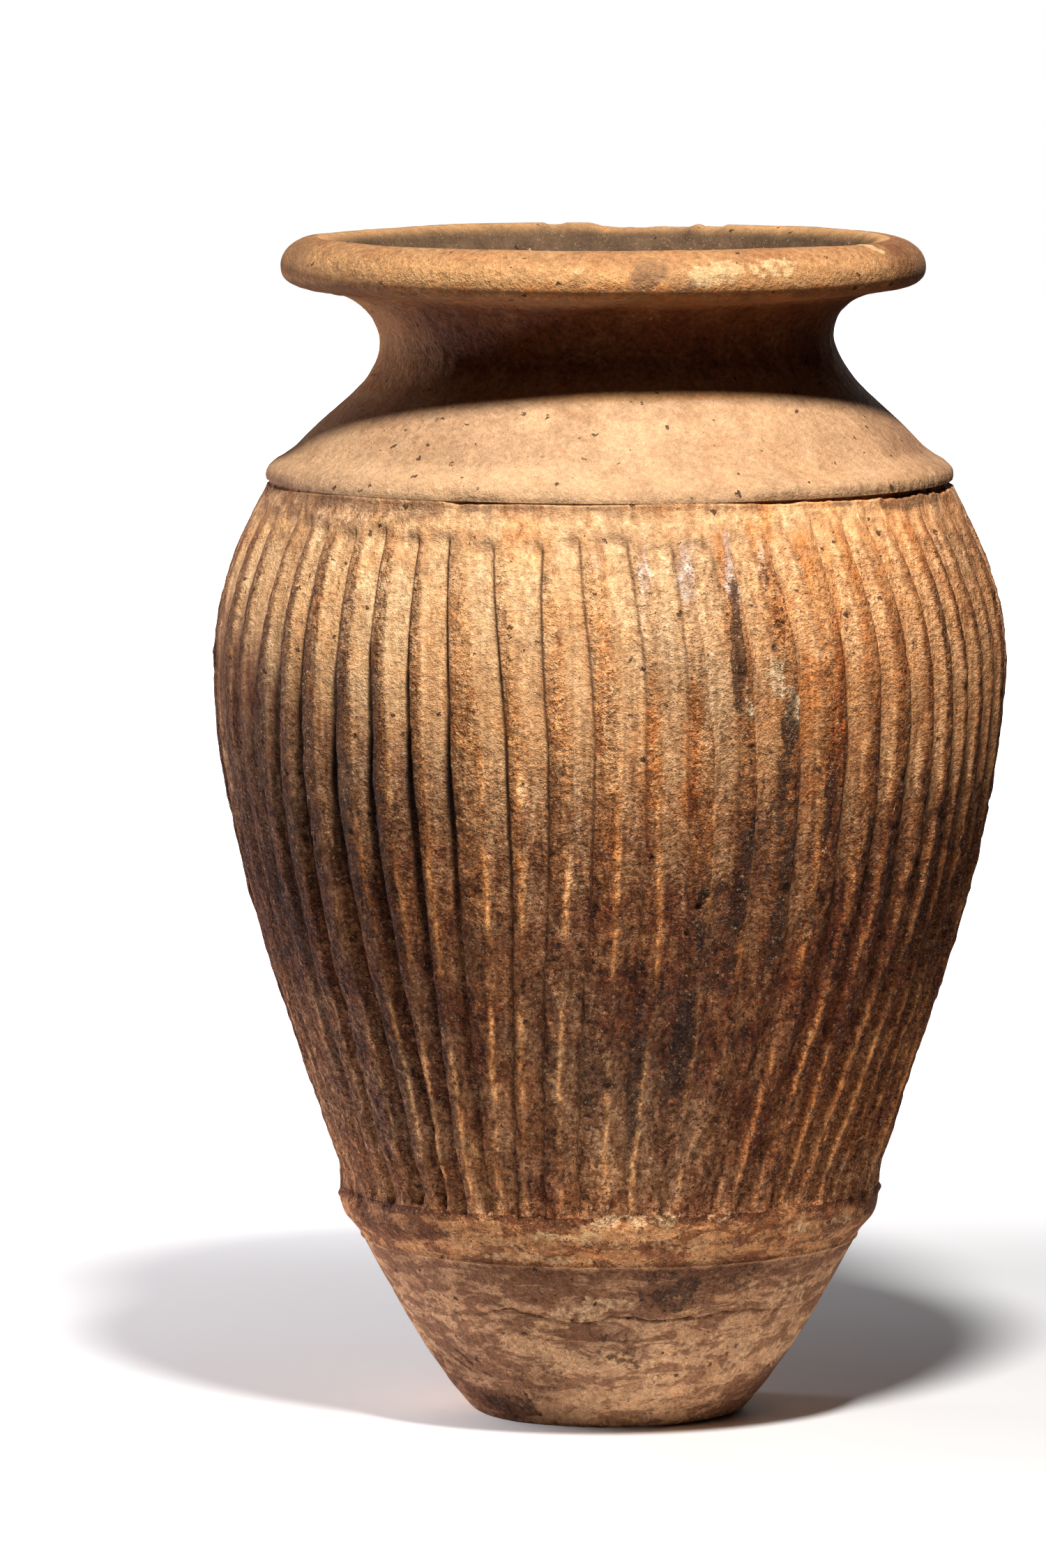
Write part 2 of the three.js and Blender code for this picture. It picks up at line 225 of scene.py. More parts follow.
# Flutes: left and right edge at height 620, upper end, depth, and how far they lean at seven heights
LEAN_HEIGHTS = [165, 205, 250, 350, 450, 550, 650]
FLUTES = [
    (-80.0, -75.0, 664, 4.6, (-5, -4.5, -4, -2.5, -1.5, -0.5, -0.5)),
    (-71.3, -67.6, 662, 4.8, (-5, -4.5, -4, -2.5, -1.5, -0.5, -0.5)),
    (-65.0, -60.3, 663, 5.0, (-6, -6, -5.5, -4, -2.3, -1, 0)),
    (-58.3, -54.7, 660, 5.0, (-4, -4, -4, -3, -1.7, -0.3, -0.7)),
    (-53.0, -49.7, 657, 5.0, (-2.4, -2.6, -2.6, -2, -0.7, 0, -0.6)),
    (-46.8, -42.7, 655, 5.0, (0, 0, 0, -0.4, -0.6, 0.2, -0.8)),
    (-40.0, -36.4, 658, 5.0, (0, 0, 0.2, 0.1, 0.1, 0.4, -1.2)),
    (-34.2, -30.3, 654, 5.0, (-1, -1.4, -1, 0.5, 0.8, 0.7, -0.7)),
    (-28.5, -24.3, 655, 4.8, (-0.8, -1, -0.7, 0.4, 1, 1, -1.2)),
    (-21.0, -17.2, 650, 4.8, (-2, -1.6, -0.6, 1.6, 2.6, 2, -1)),
    (-14.0, -10.0, 651, 4.6, (-3.2, -3, -2.2, -0.3, 1.4, 0.9, -0.5)),
    (-6.7, -3.2, 655, 4.4, (-2.4, -3, -2.4, -0.5, 1, 0.9, -1.5)),
    (0.5, 4.2, 656, 3.8, (-0.2, -1, -0.9, 0.3, 1, 0.9, -1.4)),
    (6.3, 10.2, 651, 3.4, (-1.6, -1.2, -0.5, 1.6, 1.3, 0.8, -0.5)),
    (13.5, 17.3, 652, 3.2, (-3.4, -1.4, 0.8, 1.3, 2, 0.7, -1.8)),
    (19.5, 23.0, 656, 3.0, (-5, -4.2, 1, 1.8, 2.2, 1.1, -0.6)),
    (26.3, 30.0, 661, 3.4, (-4.2, -2.3, -1.1, 2, 2.1, 1.4, -0.9)),
    (34.4, 38.0, 667, 3.8, (-6.6, -4.2, -2, 1, 1.9, 1.4, -0.5)),
    (41.0, 44.0, 668, 4.2, (-5.2, -3.2, -2, 0.2, 1.5, 1, -0.8)),
    (46.2, 50.0, 668, 4.4, (-6, -3.8, -1.8, 1.2, 2.2, 2, -0.6)),
    (52.3, 55.5, 669, 4.4, (-5.6, -3.9, -1.5, 1, 2, 1.2, -1.2)),
    (57.4, 60.6, 668, 4.4, (-5.4, -3.6, -1.4, 1.4, 2.4, 1.2, -0.6)),
    (62.0, 65.5, 668, 4.4, (-5.2, -3.4, -1.2, 1.6, 2.5, 1.4, -0.6)),
    (67.5, 71.5, 668, 4.6, (-5, -3.2, -1, 1.8, 2.5, 1.4, -0.5)),
    (73.5, 78.0, 668, 4.6, (-4.6, -3, -1, 1.4, 1.8, 1, -0.5)),
]
HIDDEN_FLUTES = 31
HIDDEN_FIRST = 84.3
HIDDEN_PITCH = 6.33
HIDDEN_LEAN = np.array([-3, -2.2, -1, 1, 1.8, 1, -0.7])

chance = np.random.default_rng(11)
for hidden in range(HIDDEN_FLUTES):
    middle = HIDDEN_FIRST + hidden * HIDDEN_PITCH + chance.uniform(-0.35, 0.35)
    half = chance.uniform(1.7, 2.05)
    lean = HIDDEN_LEAN * chance.uniform(0.4, 1.2) + chance.uniform(-0.3, 0.3, 7)
    FLUTES.append((middle - half, middle + half, chance.uniform(653, 667), chance.uniform(4.2, 5.0), lean))

# One short flute that starts low, where two neighbours part
FLUTES.append((22.6, 26.0, 243, 2.6, (-2.4, -1.4, 0, 0, 0, 0, 0)))

# By angle: how steep a flute's two walls are, how far its floor tilts and how dark its right corner is, dirt
# with painted shade
WALL_ANGLES = [-180, -90, -40, -20, 10, 30, 50, 90, 180]
RIGHT_WALLS = [4, 6, 7, 7, 6, 4.5, 4, 4, 4]
LEFT_WALLS = [4, 3.0, 2.8, 2.8, 3.0, 4.0, 4.5, 4.5, 4]
FLOOR_TILTS = [0, 0.55, 0.6, 0.5, 0.3, 0, -0.15, -0.25, 0]
RIGHT_DIRT_AND_SHADE = [0.3, 0.7, 1.0, 1.0, 0.4, 0.35, 0.3, 0.3, 0.3]

# By height: how wide that dark line of dirt and painted shade is, and how a flute's depth changes at the left
# and in front
LINE_HEIGHTS = [200, 300, 400, 480, 540, 600]
LINE_WIDTHS = [0.3, 0.6, 1.1, 1.1, 0.55, 0.1]
DEPTH_HEIGHTS = [160, 200, 260, 450, 500, 540, 570, 600, 650]
LEFT_DEPTHS = [0.8, 0.95, 1.2, 1.8, 1.8, 1.5, 1.28, 1.1, 0.9]
FRONT_DEPTHS = [0.7, 0.8, 0.95, 1.15, 1.15, 1.05, 0.95, 0.85, 0.75]

# How far the ridges beside a flute are worn down; the right one is worn more toward the jar's left side
LEFT_WEAR = 1.6
RIGHT_WEAR = 1.2
RIGHT_WEAR_MORE = 0.5

# Flutes left of this angle get their painted highlight on the left ridge, the others on the right one
LIT_TURN = 22
LIT_AT = 1.08
LIT_HALF = 0.27

# Heights between which anything of the fluting shows, and how far a flute reaches to its sides, in degrees
FLUTE_LOWEST = 140
FLUTE_HIGHEST = 690
FLUTE_REACH = 15

# The rounded ends of a flute, in mm, by angle
END_ANGLES = [20, 45]
END_LENGTHS = [9.5, 17]
END_POWER = 2.3
LOW_END = 0.7
ROUNDING = 0.006

# Angles at which the left side's way of wearing and shading fades in
LEFTY_TURNS = (24, -6)
FAR_LEFT_TURNS = (-22, -36)
MM_PER_DEGREE = 3.4


def flute_field(angle, height):
    """Depth in mm of the flutes over a grid of angles and heights, and the marks that they leave."""
    field = {name: np.zeros_like(height) for name in ("depth", "mask", "swell", "edge", "painted_shade_flank", "lit")}
    rows = height.mean(axis=1)
    if rows.max() < FLUTE_LOWEST or rows.min() > FLUTE_HIGHEST:
        return field
    draw = np.random.default_rng(29)
    for left, right, top, deepest, lean in FLUTES:
        foot = draw.uniform(159, 166)
        wobble = draw.uniform(0, 50)
        half = (right - left) / 2
        middle = (left + right) / 2
        column = np.abs(wrapped(angle[0] - middle)) < FLUTE_REACH
        z = height[:, column]
        centre = middle + smooth_path(z, LEAN_HEIGHTS, lean) + 0.22 * noise(z, wobble, 0, 34, 5)
        width = half * (1.04 + 0.07 * noise(z, 0, wobble, 45, 6))
        aside = wrapped(angle[:, column] - centre)
        u = aside / width
        right_wall, left_wall, tilt, corner_dirt_and_shade = [
            np.interp(middle, WALL_ANGLES, shares)
            for shares in (RIGHT_WALLS, LEFT_WALLS, FLOOR_TILTS, RIGHT_DIRT_AND_SHADE)
        ]
        lefty = fade(*LEFTY_TURNS, middle)
        far_left = fade(*FAR_LEFT_TURNS, middle)

        # The groove, with rounded ends, and the ridges worn down beside it
        reach = np.interp(middle, END_ANGLES, END_LENGTHS)
        low_reach = reach * LOW_END
        up = np.maximum(0, (z - (top - reach)) / reach)
        down = np.maximum(0, ((foot + low_reach) - z) / low_reach)
        q = np.abs(u) ** np.where(u > 0, right_wall, left_wall) + up ** END_POWER + down ** END_POWER
        rounded = np.where(q > 3, 0, 0.5 * (1 - q + np.sqrt((1 - q) ** 2 + ROUNDING)))
        amount = deepest * (1 + 0.14 * noise(z, wobble, 9, 60, 8))
        at_left = np.interp(z, DEPTH_HEIGHTS, LEFT_DEPTHS)
        in_front = np.interp(z, DEPTH_HEIGHTS, FRONT_DEPTHS)
        amount = amount * (in_front + (at_left - in_front) * far_left)
        skew = tilt * (0.5 + fade(600, 480, z))
        cut = amount * rounded * (1 + skew * np.clip(u, -1, 1)) / (1 + np.abs(skew))
        beyond = np.maximum(np.abs(u) - 1, 0)
        right_wear = RIGHT_WEAR + RIGHT_WEAR_MORE * lefty
        worn_left = LEFT_WEAR * np.exp(-beyond / (0.45 + 0.25 * lefty))
        worn_right = right_wear * np.exp(-beyond / (0.70 - 0.25 * lefty))
        within = 0.5 * (1 + u) * right_wear + 0.5 * (1 - u) * LEFT_WEAR
        worn = np.where(np.abs(u) < 1, within, np.where(u > 0, worn_right, worn_left))
        field["depth"][:, column] += cut + worn * np.clip(1.3 - up, 0, 1) * np.clip(1.3 - down, 0, 1)

        # Where the smooth clay of the flute shows; low at the left it draws back from the right wall as
        # painted shade
        shaded_right_part = 0.85 * fade(556, 476, z) * fade(-16, -36, middle)
        right_end = 1.0 - shaded_right_part
        soft_left = 0.16 + 0.34 * lefty
        soft_right = 0.42 - 0.30 * lefty + 0.2 * shaded_right_part
        mask = fade(-1.02 - soft_left, -1.02 + soft_left, u)
        mask = mask * fade(right_end + soft_right, right_end - soft_right, u)
        mask = mask * fade(1.25, 0.7, up) * fade(1.25, 0.7, down)

        # Painted shade on the ridge's side that faces away from the lamp
        painted_shade_flank = lefty * np.exp(-np.maximum(u - 1, 0) / 0.8) * fade(right_end - 0.15, right_end + 0.1, u)
        painted_shade_flank = painted_shade_flank * (0.3 + 0.7 * fade(-18, -36, middle))
        painted_shade_flank = painted_shade_flank + (1 - lefty) * np.exp(-np.maximum(-u - 1, 0) / 0.7) * (u < -0.95)
        painted_shade_flank = painted_shade_flank * fade(1.2, 0.2, up) * fade(1.2, 0.4, down)

        # Dirt and painted shade in the right corner, and a painted highlight on the ridge that catches the
        # light
        wide = np.interp(z, LINE_HEIGHTS, LINE_WIDTHS) * (0.35 + 0.65 * lefty)
        wide = wide * fade(-12, -36, middle)
        edge = fade(0.80 - wide, 0.96 - 0.5 * wide, u) * fade(1.16, 1.0, u)
        edge = edge * fade(top, top - 8, z) * (z > foot + 4)
        edge = edge * (0.55 + 0.45 * fade(-0.5, 0.4, noise(z, wobble, 0, 22, 7) + 0.3)) * corner_dirt_and_shade
        lit = bell(u, LIT_AT if middle >= LIT_TURN else -LIT_AT, LIT_HALF)
        lit = lit * fade(1.2, 0.6, up) * fade(1.2, 0.6, down)
        lit = lit * fade(-0.75, 0.25, noise(z, wobble, 3, 30, 15))
        for name, values in (("mask", mask), ("painted_shade_flank", painted_shade_flank), ("edge", edge), ("lit", lit)):
            field[name][:, column] = np.maximum(field[name][:, column], values)

        # Clay pushed up under the lower end
        side = aside * MM_PER_DEGREE
        lump = bell(side, 0.6, 6.0) * bell(z, foot - 3.0, 3.6) * draw.uniform(0.7, 2.1)
        hollow = bell(side, 0.8, 3.6) * bell(z, foot + 4.0, 4.0) * draw.uniform(0.6, 2.2)
        field["swell"][:, column] += lump - hollow
    return field


# The lip over the belly: how far it overhangs and how tall the open crack under it is
CRACK_ANGLES = [
    -180, -120, -90, -70, -60, -52, -45, -35, -28, -25, -20, -12, -4, 3, 7, 11, 15, 21, 28, 40, 55, 70, 85,
    100, 140, 180,
]
CRACK_DEPTHS = [
    2.5, 3, 2, 1.6, 1, 0.3, 0.2, 0.2, 0.5, 2.2, 1.5, 1, 0.8, 0.5, 0.2, 0.1, 0.2, 1.1, 1.8, 2.6, 3.4, 4.6, 5,
    4.5, 3.5, 2.5,
]
CRACK_TALLS = [
    3, 3.5, 3, 2, 1.4, 1, 1, 1, 1.4, 2.4, 1.3, 1, 1, 0.9, 0.8, 0.6, 0.8, 1.3, 1.8, 2.4, 3.2, 4.2, 5, 5, 4, 3,
]


def crack_field(turned, height, x, y):
    """How far the crack under the lip cuts in, and how far the lip overhangs."""
    deep = np.interp(turned, CRACK_ANGLES, CRACK_DEPTHS) * (1 + 0.45 * noise(x, y, 0, 14, 31))
    tall = np.interp(turned, CRACK_ANGLES, CRACK_TALLS)
    tall = tall * (1 + 0.4 * noise(x, y, 0, 9, 32) + 0.25 * noise(x, y, 0, 4, 33))
    below = CREASE - height
    sunk = deep * (1 - fade(0.35, 1.0, below / (tall + 0.6))) * (below > -0.01)
    return sunk, deep


# The open crack along the joint in the foot, as angle and height, then as angle and how far it is open
FOOT_CRACK = [
    (-180, 89), (-120, 88), (-90, 90), (-62, 88), (-48, 86), (-35, 88), (-27, 93.5), (-20, 90), (-13, 86),
    (-4, 85.6), (0, 89.6), (5.5, 89.6), (11, 86), (18, 87), (25, 88), (31, 90), (40, 89.4), (49, 87),
    (62, 86.4), (76, 87), (100, 89), (140, 88), (180, 89),
]
CRACK_OPEN = [
    (-180, 0.3), (-62, 0.3), (-40, 0.5), (-22, 0.6), (-10, 1), (4, 1.1), (14, 1), (30, 0.8), (45, 0.5),
    (60, 0.25), (90, 0.3), (180, 0.3),
]


def foot_crack_height(angle):
    turned = wrapped(angle)
    base = smooth_path(turned, *zip(*FOOT_CRACK))
    return base + 0.7 * noise(turned, 0, 0, 2.3, 41) + 0.4 * noise(turned, 0, 0, 0.9, 42)


# How deep that crack and the slope beside it go, and how tall they are
CRACK_CUT = 1.8
CRACK_HALF = 0.75
SLOPE_CUT = 0.5
SLOPE_HALF = 2.4

# Short cracks on the foot, from angle and height to angle and height, with depth
SHORT_CRACKS = [
    (-60.6, 52, -51.1, 40, 1.5), (-52.8, 55, -48.4, 45, 1.3), (-44, 40, -39, 33, 0.9), (20, 93, 23, 88, 0.8),
    (-31, 97, -28, 92, 1),
]
FOOT_RADIUS = 140

# How far up and down a pit reaches, and the depth at which its painted shade is full
PIT_REACH = 25
DARK_DEPTH = 2.4

# Pits deep enough to break the surface: angle, height, half width, half height, depth
PITS = [
    (24.1, 576, 2.2, 4.2, 3.4), (24.9, 591, 3.4, 2.2, 2.4), (23.4, 604, 2.6, 1.6, 1.6),
    (13.7, 394, 2.4, 3.2, 3.2), (12.1, 374, 1.6, 1.8, 2.2), (55.5, 414, 3, 2.6, 2.6),
    (6.2, 430, 1.6, 1.6, 1.6), (-0.3, 262, 2.6, 3.6, 1.8), (25.8, 560, 3, 6, 1.2), (27, 541, 2.4, 8, 1.2),
    (22.6, 532, 2, 4, 1.2), (2, 642, 1.6, 1.4, 1.4), (-12.5, 706, 1.4, 1, 1), (15.5, 722, 1.3, 1, 0.9),
    (-39, 728, 2, 1.4, 1.3), (31, 715, 1.3, 1, 0.9), (10, 548, 1.4, 3, 1.4), (3.4, 521, 1.6, 2.4, 1.3),
    (-28.8, 628, 1.4, 2.2, 1.4), (-8.8, 611, 2, 1.4, 1.3), (-22.6, 604, 1.3, 2.2, 1.5),
    (-35, 588, 1.8, 1.6, 1.4), (20.5, 506, 2, 3, 1.5), (17.2, 470, 1.8, 3.4, 1.4),
    (-15.6, 640, 1.3, 2.4, 1.2), (40.8, 640, 1.5, 3, 1.2), (47.5, 566, 1.8, 3.4, 1.4),
    (36, 594, 1.4, 2.4, 1.2),
]

# Chips that lower the crest of the rim between two heights: angle, half width in degrees, depth
CHIPPED_HEIGHTS = (828, 846)
RIM_CHIPS = [(176, 7, 3), (166, 6, 2.6), (157, 3.5, 1.6), (190, 2.5, 1.2), (-62, 1.5, 0.6)]

# Where the flutes at the left fall into shade, and how deep it is, both by angle
ONSET_ANGLES = [-75, -70, -57, -45, -32, -24]
ONSET_HEIGHTS = [600, 590, 555, 530, 518, 490]
SHADED_ANGLES = [-90, -75, -32, -24, -16]
SHADED_SHARES = [0.3, 0.85, 0.8, 0.3, 0.0]


def chips(angle, x, y, z):
    """How far the rim is chipped away."""
    jagged = 1 + 0.3 * noise(x, y, z, 14, 46) + 0.12 * noise(x, y, z, 5, 47)
    total = 0 * jagged
    for a0, half, cut in RIM_CHIPS:
        total = total + cut * fade(1, 0.55, np.abs(wrapped(angle - a0)) / half)
    return total * jagged * fade(*CHIPPED_HEIGHTS, z)


def relief(angle, s):
    """Outward displacement in mm and the surface marks over a grid on the outer outline."""
    r, z, nr, nz = curve_at(outer_curve, s)
    turned = wrapped(angle)
    x = r * np.sin(np.radians(angle))
    y = -r * np.cos(np.radians(angle))
    flutes = flute_field(angle, z)
    fluted = band(z, *FLUTED_HEIGHTS)
    under_rim = band(z, *UNDER_RIM_HEIGHTS)
    ridge = fluted * (1 - flutes["mask"])
    worn = ridge * (0.35 + 0.65 * fade(640, 590, z))

    # The body's wandering wall, lumps and torn clay on the ridges, and the line under the lower cordon
    move = flutes["swell"] - flutes["depth"]
    move = move + 0.9 * noise(x, y, z, 95, 1) + 0.45 * noise(x, y, z, 38, 2) * (0.5 + 0.5 * fluted)
    move = move + worn * (0.6 * noise(x, y, z * 0.7, 11, 3) + 0.5 * noise(x, y, z, 5.2, 4))
    move = move + 0.12 * noise(x, y, z, 6.5, 9) + under_rim * 0.5 * noise(x, y, z * 0.6, 9, 10)
    move = move - 0.8 * worn * fade(0.15, 0.6, noise(x, y, z * 0.8, 7.5, 12))
    line = CORDON_FOOT + 0.5 * noise(x, y, 0, 60, 13)
    move = move + 0.9 * bell(z, line, 1.2) - 0.7 * bell(z, line - 2.6, 1.4)

    # The ragged lip with its open crack, closed up where the lip was smeared onto the belly
    sunk, deep = crack_field(turned, z, x, y)
    lip = band(z, *LIP_HEIGHTS)
    ragged = noise(x, y, 0, 12, 51) + 0.7 * noise(x, y, 0, 4.5, 52)
    move = move - sunk + np.clip(deep / 2.4, 0, 1) * lip * (0.7 * ragged - fade(0.7, 1.3, ragged))
    closed = (1 - fade(0.5, 1.6, deep)) * fade(-100, -80, turned)
    move = move + closed * (1.4 * bell(z, 674.5, 5.5) - bell(z, 684, 5))

    # Cracks in the foot, pits and chips
    opened = np.interp(turned, *zip(*CRACK_OPEN)) * (0.8 + 0.5 * noise(x, y, 0, 7, 43))
    move = move - CRACK_CUT * opened * bell(z, FOOT_JOINT, CRACK_HALF)
    move = move - SLOPE_CUT * opened * bell(z, FOOT_JOINT, SLOPE_HALF)
    # Painted shade along the open cracks in the foot
    foot_line = 0.6 * bell(z, FOOT_JOINT, 1.2) * np.clip(opened, 0, 1) ** 1.6
    for a0, z0, a1, z1, cut in SHORT_CRACKS:
        ax = np.radians(wrapped(angle - a0)) * FOOT_RADIUS
        az = z - z0
        bx = math.radians(a1 - a0) * FOOT_RADIUS
        bz = z1 - z0
        share = np.clip((ax * bx + az * bz) / (bx * bx + bz * bz), 0, 1)
        gap = np.hypot(ax - share * bx + 1.2 * noise(x, y, z, 6, 44), az - share * bz)
        move = move - cut * bell(gap, 0, 1.0)
        foot_line = np.maximum(foot_line, bell(gap, 0, 1.1) * cut / 1.5)
    hole = np.zeros_like(z)
    for a0, z0, wide, high, cut in PITS:
        rows = np.abs(z[:, 0] - z0) < PIT_REACH
        side = np.radians(wrapped(angle[rows] - a0)) * r[rows]
        jag = 1 + 0.5 * noise(x[rows], y[rows], z[rows], 3.5, 45)
        shape = np.exp(-(((side / wide) ** 2 + ((z[rows] - z0) / high) ** 2) * jag) ** 1.6)
        move[rows] -= cut * shape
        hole[rows] = np.maximum(hole[rows], shape * min(1, cut / DARK_DEPTH))
    move = move - chips(angle, x, y, z)

    # The marks that the clays read
    outer = np.maximum(fade(-14, -34, turned), fade(24, 44, turned))
    cream = fade(330, 480, z - 40 * outer)
    upper = fade(360, 470, z)
    faded = flutes["mask"] * (cream + (1 - cream) * (0.4 - 0.2 * outer))
    calm = 1 - 0.6 * fade(24, 31, turned) * fade(60, 45, turned) * fade(500, 590, z)
    quiet = fade(-34, -24, turned) * fade(24, 14, turned) * fade(520, 580, z)
    calm = calm * (1 - 0.5 * quiet)
    rough = ridge * (0.3 + 0.7 * fade(652, 618, z)) * calm + 0.35 * under_rim
    rubbed = fluted * (0.2 + 0.26 * fade(-8, 20, turned)) * fade(664, 630, z)
    rubbed = np.maximum(rubbed, 0.85 * fluted * fade(575, 420, z))
    plain = 0.5 * fade(170, 150, z) + 0.12 * bell(z, 150, 20) + 0.35 * fade(806, 816, z)
    window = 0.35 + 0.65 * fade(-54, -36, turned) - 0.25 * fade(8, 24, turned)
    onset = np.interp(turned, ONSET_ANGLES, ONSET_HEIGHTS)
    shaded = fade(onset + 15, onset - 30, z) * fade(340, 410, z)
    marks = {
        "open": flutes["mask"] * fluted,
        "groove": np.maximum(faded * fluted, 0.85 * fade(648, 664, z) * fluted),
        # Dirt and painted shade in the flutes' right corners
        "edge": flutes["edge"] * fluted * (0.2 + 0.8 * upper),
        "painted_shade_flank": flutes["painted_shade_flank"] * fluted * (0.3 + 0.7 * fade(640, 560, z)) * (0.4 + 0.6 * upper),
        "rough": np.clip(np.maximum(np.maximum(rough, rubbed), plain), 0, 1),
        "hole": np.clip(hole + foot_line, 0, 1),
        # Painted shade in the crack under the lip, by its depth
        "crack": fade(0.5, 2.2, sunk),
        # Painted highlight on the ridges that face the lamp
        "lit": flutes["lit"] * window * fade(166, 182, z) * fade(580, 440, z),
        "shaded": shaded * faded * np.interp(turned, SHADED_ANGLES, SHADED_SHARES),
    }
    return r, z, nr, nz, move, marks, x, y


# Places of colour, as angle, height, half width and half height in mm, strength and, if any, tilt in degrees
SOOT = [
    (18.4, 572, 5, 42, 0.95, 2), (17.3, 520, 7, 26, 0.6), (26.2, 520, 7, 26, 0.9), (25, 470, 10, 40, 0.9, 4),
    (22, 430, 15, 45, 0.9, 8), (18, 385, 20, 60, 0.85, 8), (27.5, 400, 8, 70, 0.6, 6),
    (33.5, 455, 5, 40, 0.7, 4), (32, 385, 6, 50, 0.6, 6), (12, 300, 22, 60, 0.75, 6),
    (3.5, 285, 14, 60, 0.7, 2), (-4, 262, 12, 40, 0.5), (23, 290, 10, 50, 0.5, 8), (9, 455, 6, 60, 0.35, 4),
    (38, 400, 6, 60, 0.4, 6), (44.5, 420, 5, 80, 0.4, 5), (50.5, 400, 5, 80, 0.4, 5),
    (57, 390, 6, 80, 0.45, 5), (-12.5, 230, 12, 40, 0.4), (39.5, 210, 12, 26, 0.35), (4, 640, 3, 18, 0.25, 2),
    (15, 110, 24, 13, 0.7, -6), (30, 113, 18, 11, 0.5), (2, 66, 28, 15, 0.42, 6), (-14, 74, 22, 11, 0.3),
    (-24, 42, 26, 10, 0.3), (-36, 17, 30, 10, 0.6), (-8, 12, 26, 7, 0.2), (16, 11, 20, 6, 0.25),
    (-45, 105, 26, 12, 0.35), (38, 60, 10, 26, 0.35, 30), (150, 420, 60, 120, 0.6, 10),
    (205, 300, 50, 90, 0.5, -8), (250, 540, 40, 60, 0.35, 6), (170, 95, 60, 25, 0.4), (262, 95, 40, 20, 0.3),
]
OCHRE = [
    (29.5, 545, 8, 46, 0.9, 2), (35, 590, 6, 50, 0.7, 2), (34.5, 500, 7, 60, 0.8, 2),
    (30, 470, 9, 30, 0.7, 2), (11.8, 500, 6, 60, 0.75, 2), (5.8, 490, 6, 70, 0.6, 2), (17.6, 640, 5, 26, 0.5),
    (26, 660, 8, 14, 0.8), (31, 640, 6, 20, 0.6), (18.6, 608, 4, 5, 1), (-1, 560, 6, 70, 0.5, 2),
    (-8, 560, 7, 70, 0.4, 2), (40, 600, 6, 50, 0.5, 2), (23, 650, 6, 20, 0.5), (0, 140, 60, 6, 0.5),
    (-30, 600, 60, 50, 0.15), (47, 640, 8, 30, 0.4), (20, 345, 6, 40, 0.5, 4), (31, 250, 9, 40, 0.4, 6),
    (120, 560, 50, 70, 0.5), (220, 600, 60, 50, 0.4), (0, 822, 200, 6, 0.5), (40, 818, 160, 6, 0.6),
]
BLOOM = [
    (5.2, 632, 4.5, 24, 0.85, 2), (11.6, 630, 6.5, 24, 0.95, 2), (18.2, 634, 4.5, 24, 0.9, 3),
    (18.8, 612, 4, 12, 0.7, 3), (23.6, 632, 3, 22, 0.6, 3), (-2, 636, 4, 16, 0.4, 2),
    (29, 640, 2.5, 16, 0.35, 2), (4.9, 600, 3.5, 14, 0.45, 2), (13, 596, 3.5, 16, 0.35, 2),
    (-52, 250, 26, 60, 0.35), (-46, 235, 4, 20, 0.4), (12, 708, 22, 5, 0.2, -20), (-18, 702, 26, 4, 0.2, -25),
    (235, 640, 20, 18, 0.4),
]
# Paler places: chips, worn spots, paler patches on the foot and the lower cordon, and painted light on the
# rim's front face
PALE = [
    (24.5, 556, 8, 18, 0.7), (26.8, 530, 6, 14, 0.8), (20, 540, 6, 16, 0.6), (15.6, 560, 7, 26, 0.4),
    (9, 470, 5, 40, 0.3), (20, 833, 24, 7, 0.9), (31, 836, 26, 8, 0.6), (62, 846, 6, 3, 1, 10),
    (-6, 836, 30, 4, 0.45), (8.6, 60, 2.4, 5, 1), (-18.6, 58, 4, 2.6, 1), (-5, 97, 36, 7, 0.6, -8),
    (24, 60, 30, 18, 0.45, 20), (42, 50, 12, 24, 0.6, 25), (5, 25, 40, 8, 0.5), (-30, 60, 18, 14, 0.3),
    (52, 100, 26, 18, 0.5), (-1, 163, 12, 5, 0.9), (-6, 158, 9, 4, 0.7), (5.5, 163, 8, 5, 0.8),
    (11.5, 163, 10, 5, 0.7), (24.5, 163, 9, 5, 0.5), (0, 146, 130, 6, 0.45), (-14.5, 154, 14, 4, 0.6),
    (-9, 152, 34, 5, 0.75), (46, 152, 26, 5, 0.6), (61, 152, 20, 5, 0.6), (-14, 135, 50, 4, 0.6),
]
# Dark stains, and painted shade in the crease under the lip, under the rim, under the lower cordon and at the
# sides
STAINS_AND_SHADE = [
    (-52, 671, 44, 7, 0.7), (-34, 670, 36, 7, 0.6), (-12, 668, 40, 5, 0.45), (-56, 660, 30, 7, 0.4),
    (-38, 662, 40, 5, 0.35), (-8, 660, 44, 5, 0.3), (36, 664, 40, 6, 0.35), (12, 664, 26, 6, 0.35),
    (-64, 668, 50, 5, 0.6), (-42, 668, 60, 5.5, 0.6), (8, 667, 60, 5, 0.3), (-29, 672, 18, 5, 0.7),
    (-23, 671, 14, 5, 0.9), (-14, 672, 26, 3, 0.7), (-2, 672, 24, 2.5, 0.6), (24, 672, 14, 5, 0.7),
    (40, 671, 30, 4, 0.7), (60, 669, 60, 5, 0.9), (7.5, 832, 15, 10, 0.85), (3, 842, 10, 5, 0.55),
    (13, 826, 14, 7, 0.6), (-80, 835, 60, 12, 0.5), (78, 832, 50, 14, 0.5), (0, 814, 260, 2.6, 0.6),
    (-60, 817, 160, 5, 0.8), (60, 817, 160, 5, 0.8), (2, 125, 90, 3.5, 0.5), (36, 124, 60, 4, 0.5),
    (-36, 125, 60, 3.5, 0.4), (30, 655, 14, 8, 0.3), (-66, 560, 16, 60, 0.3), (-66, 420, 90, 120, 0.25),
    (64, 420, 90, 110, 0.3),
]
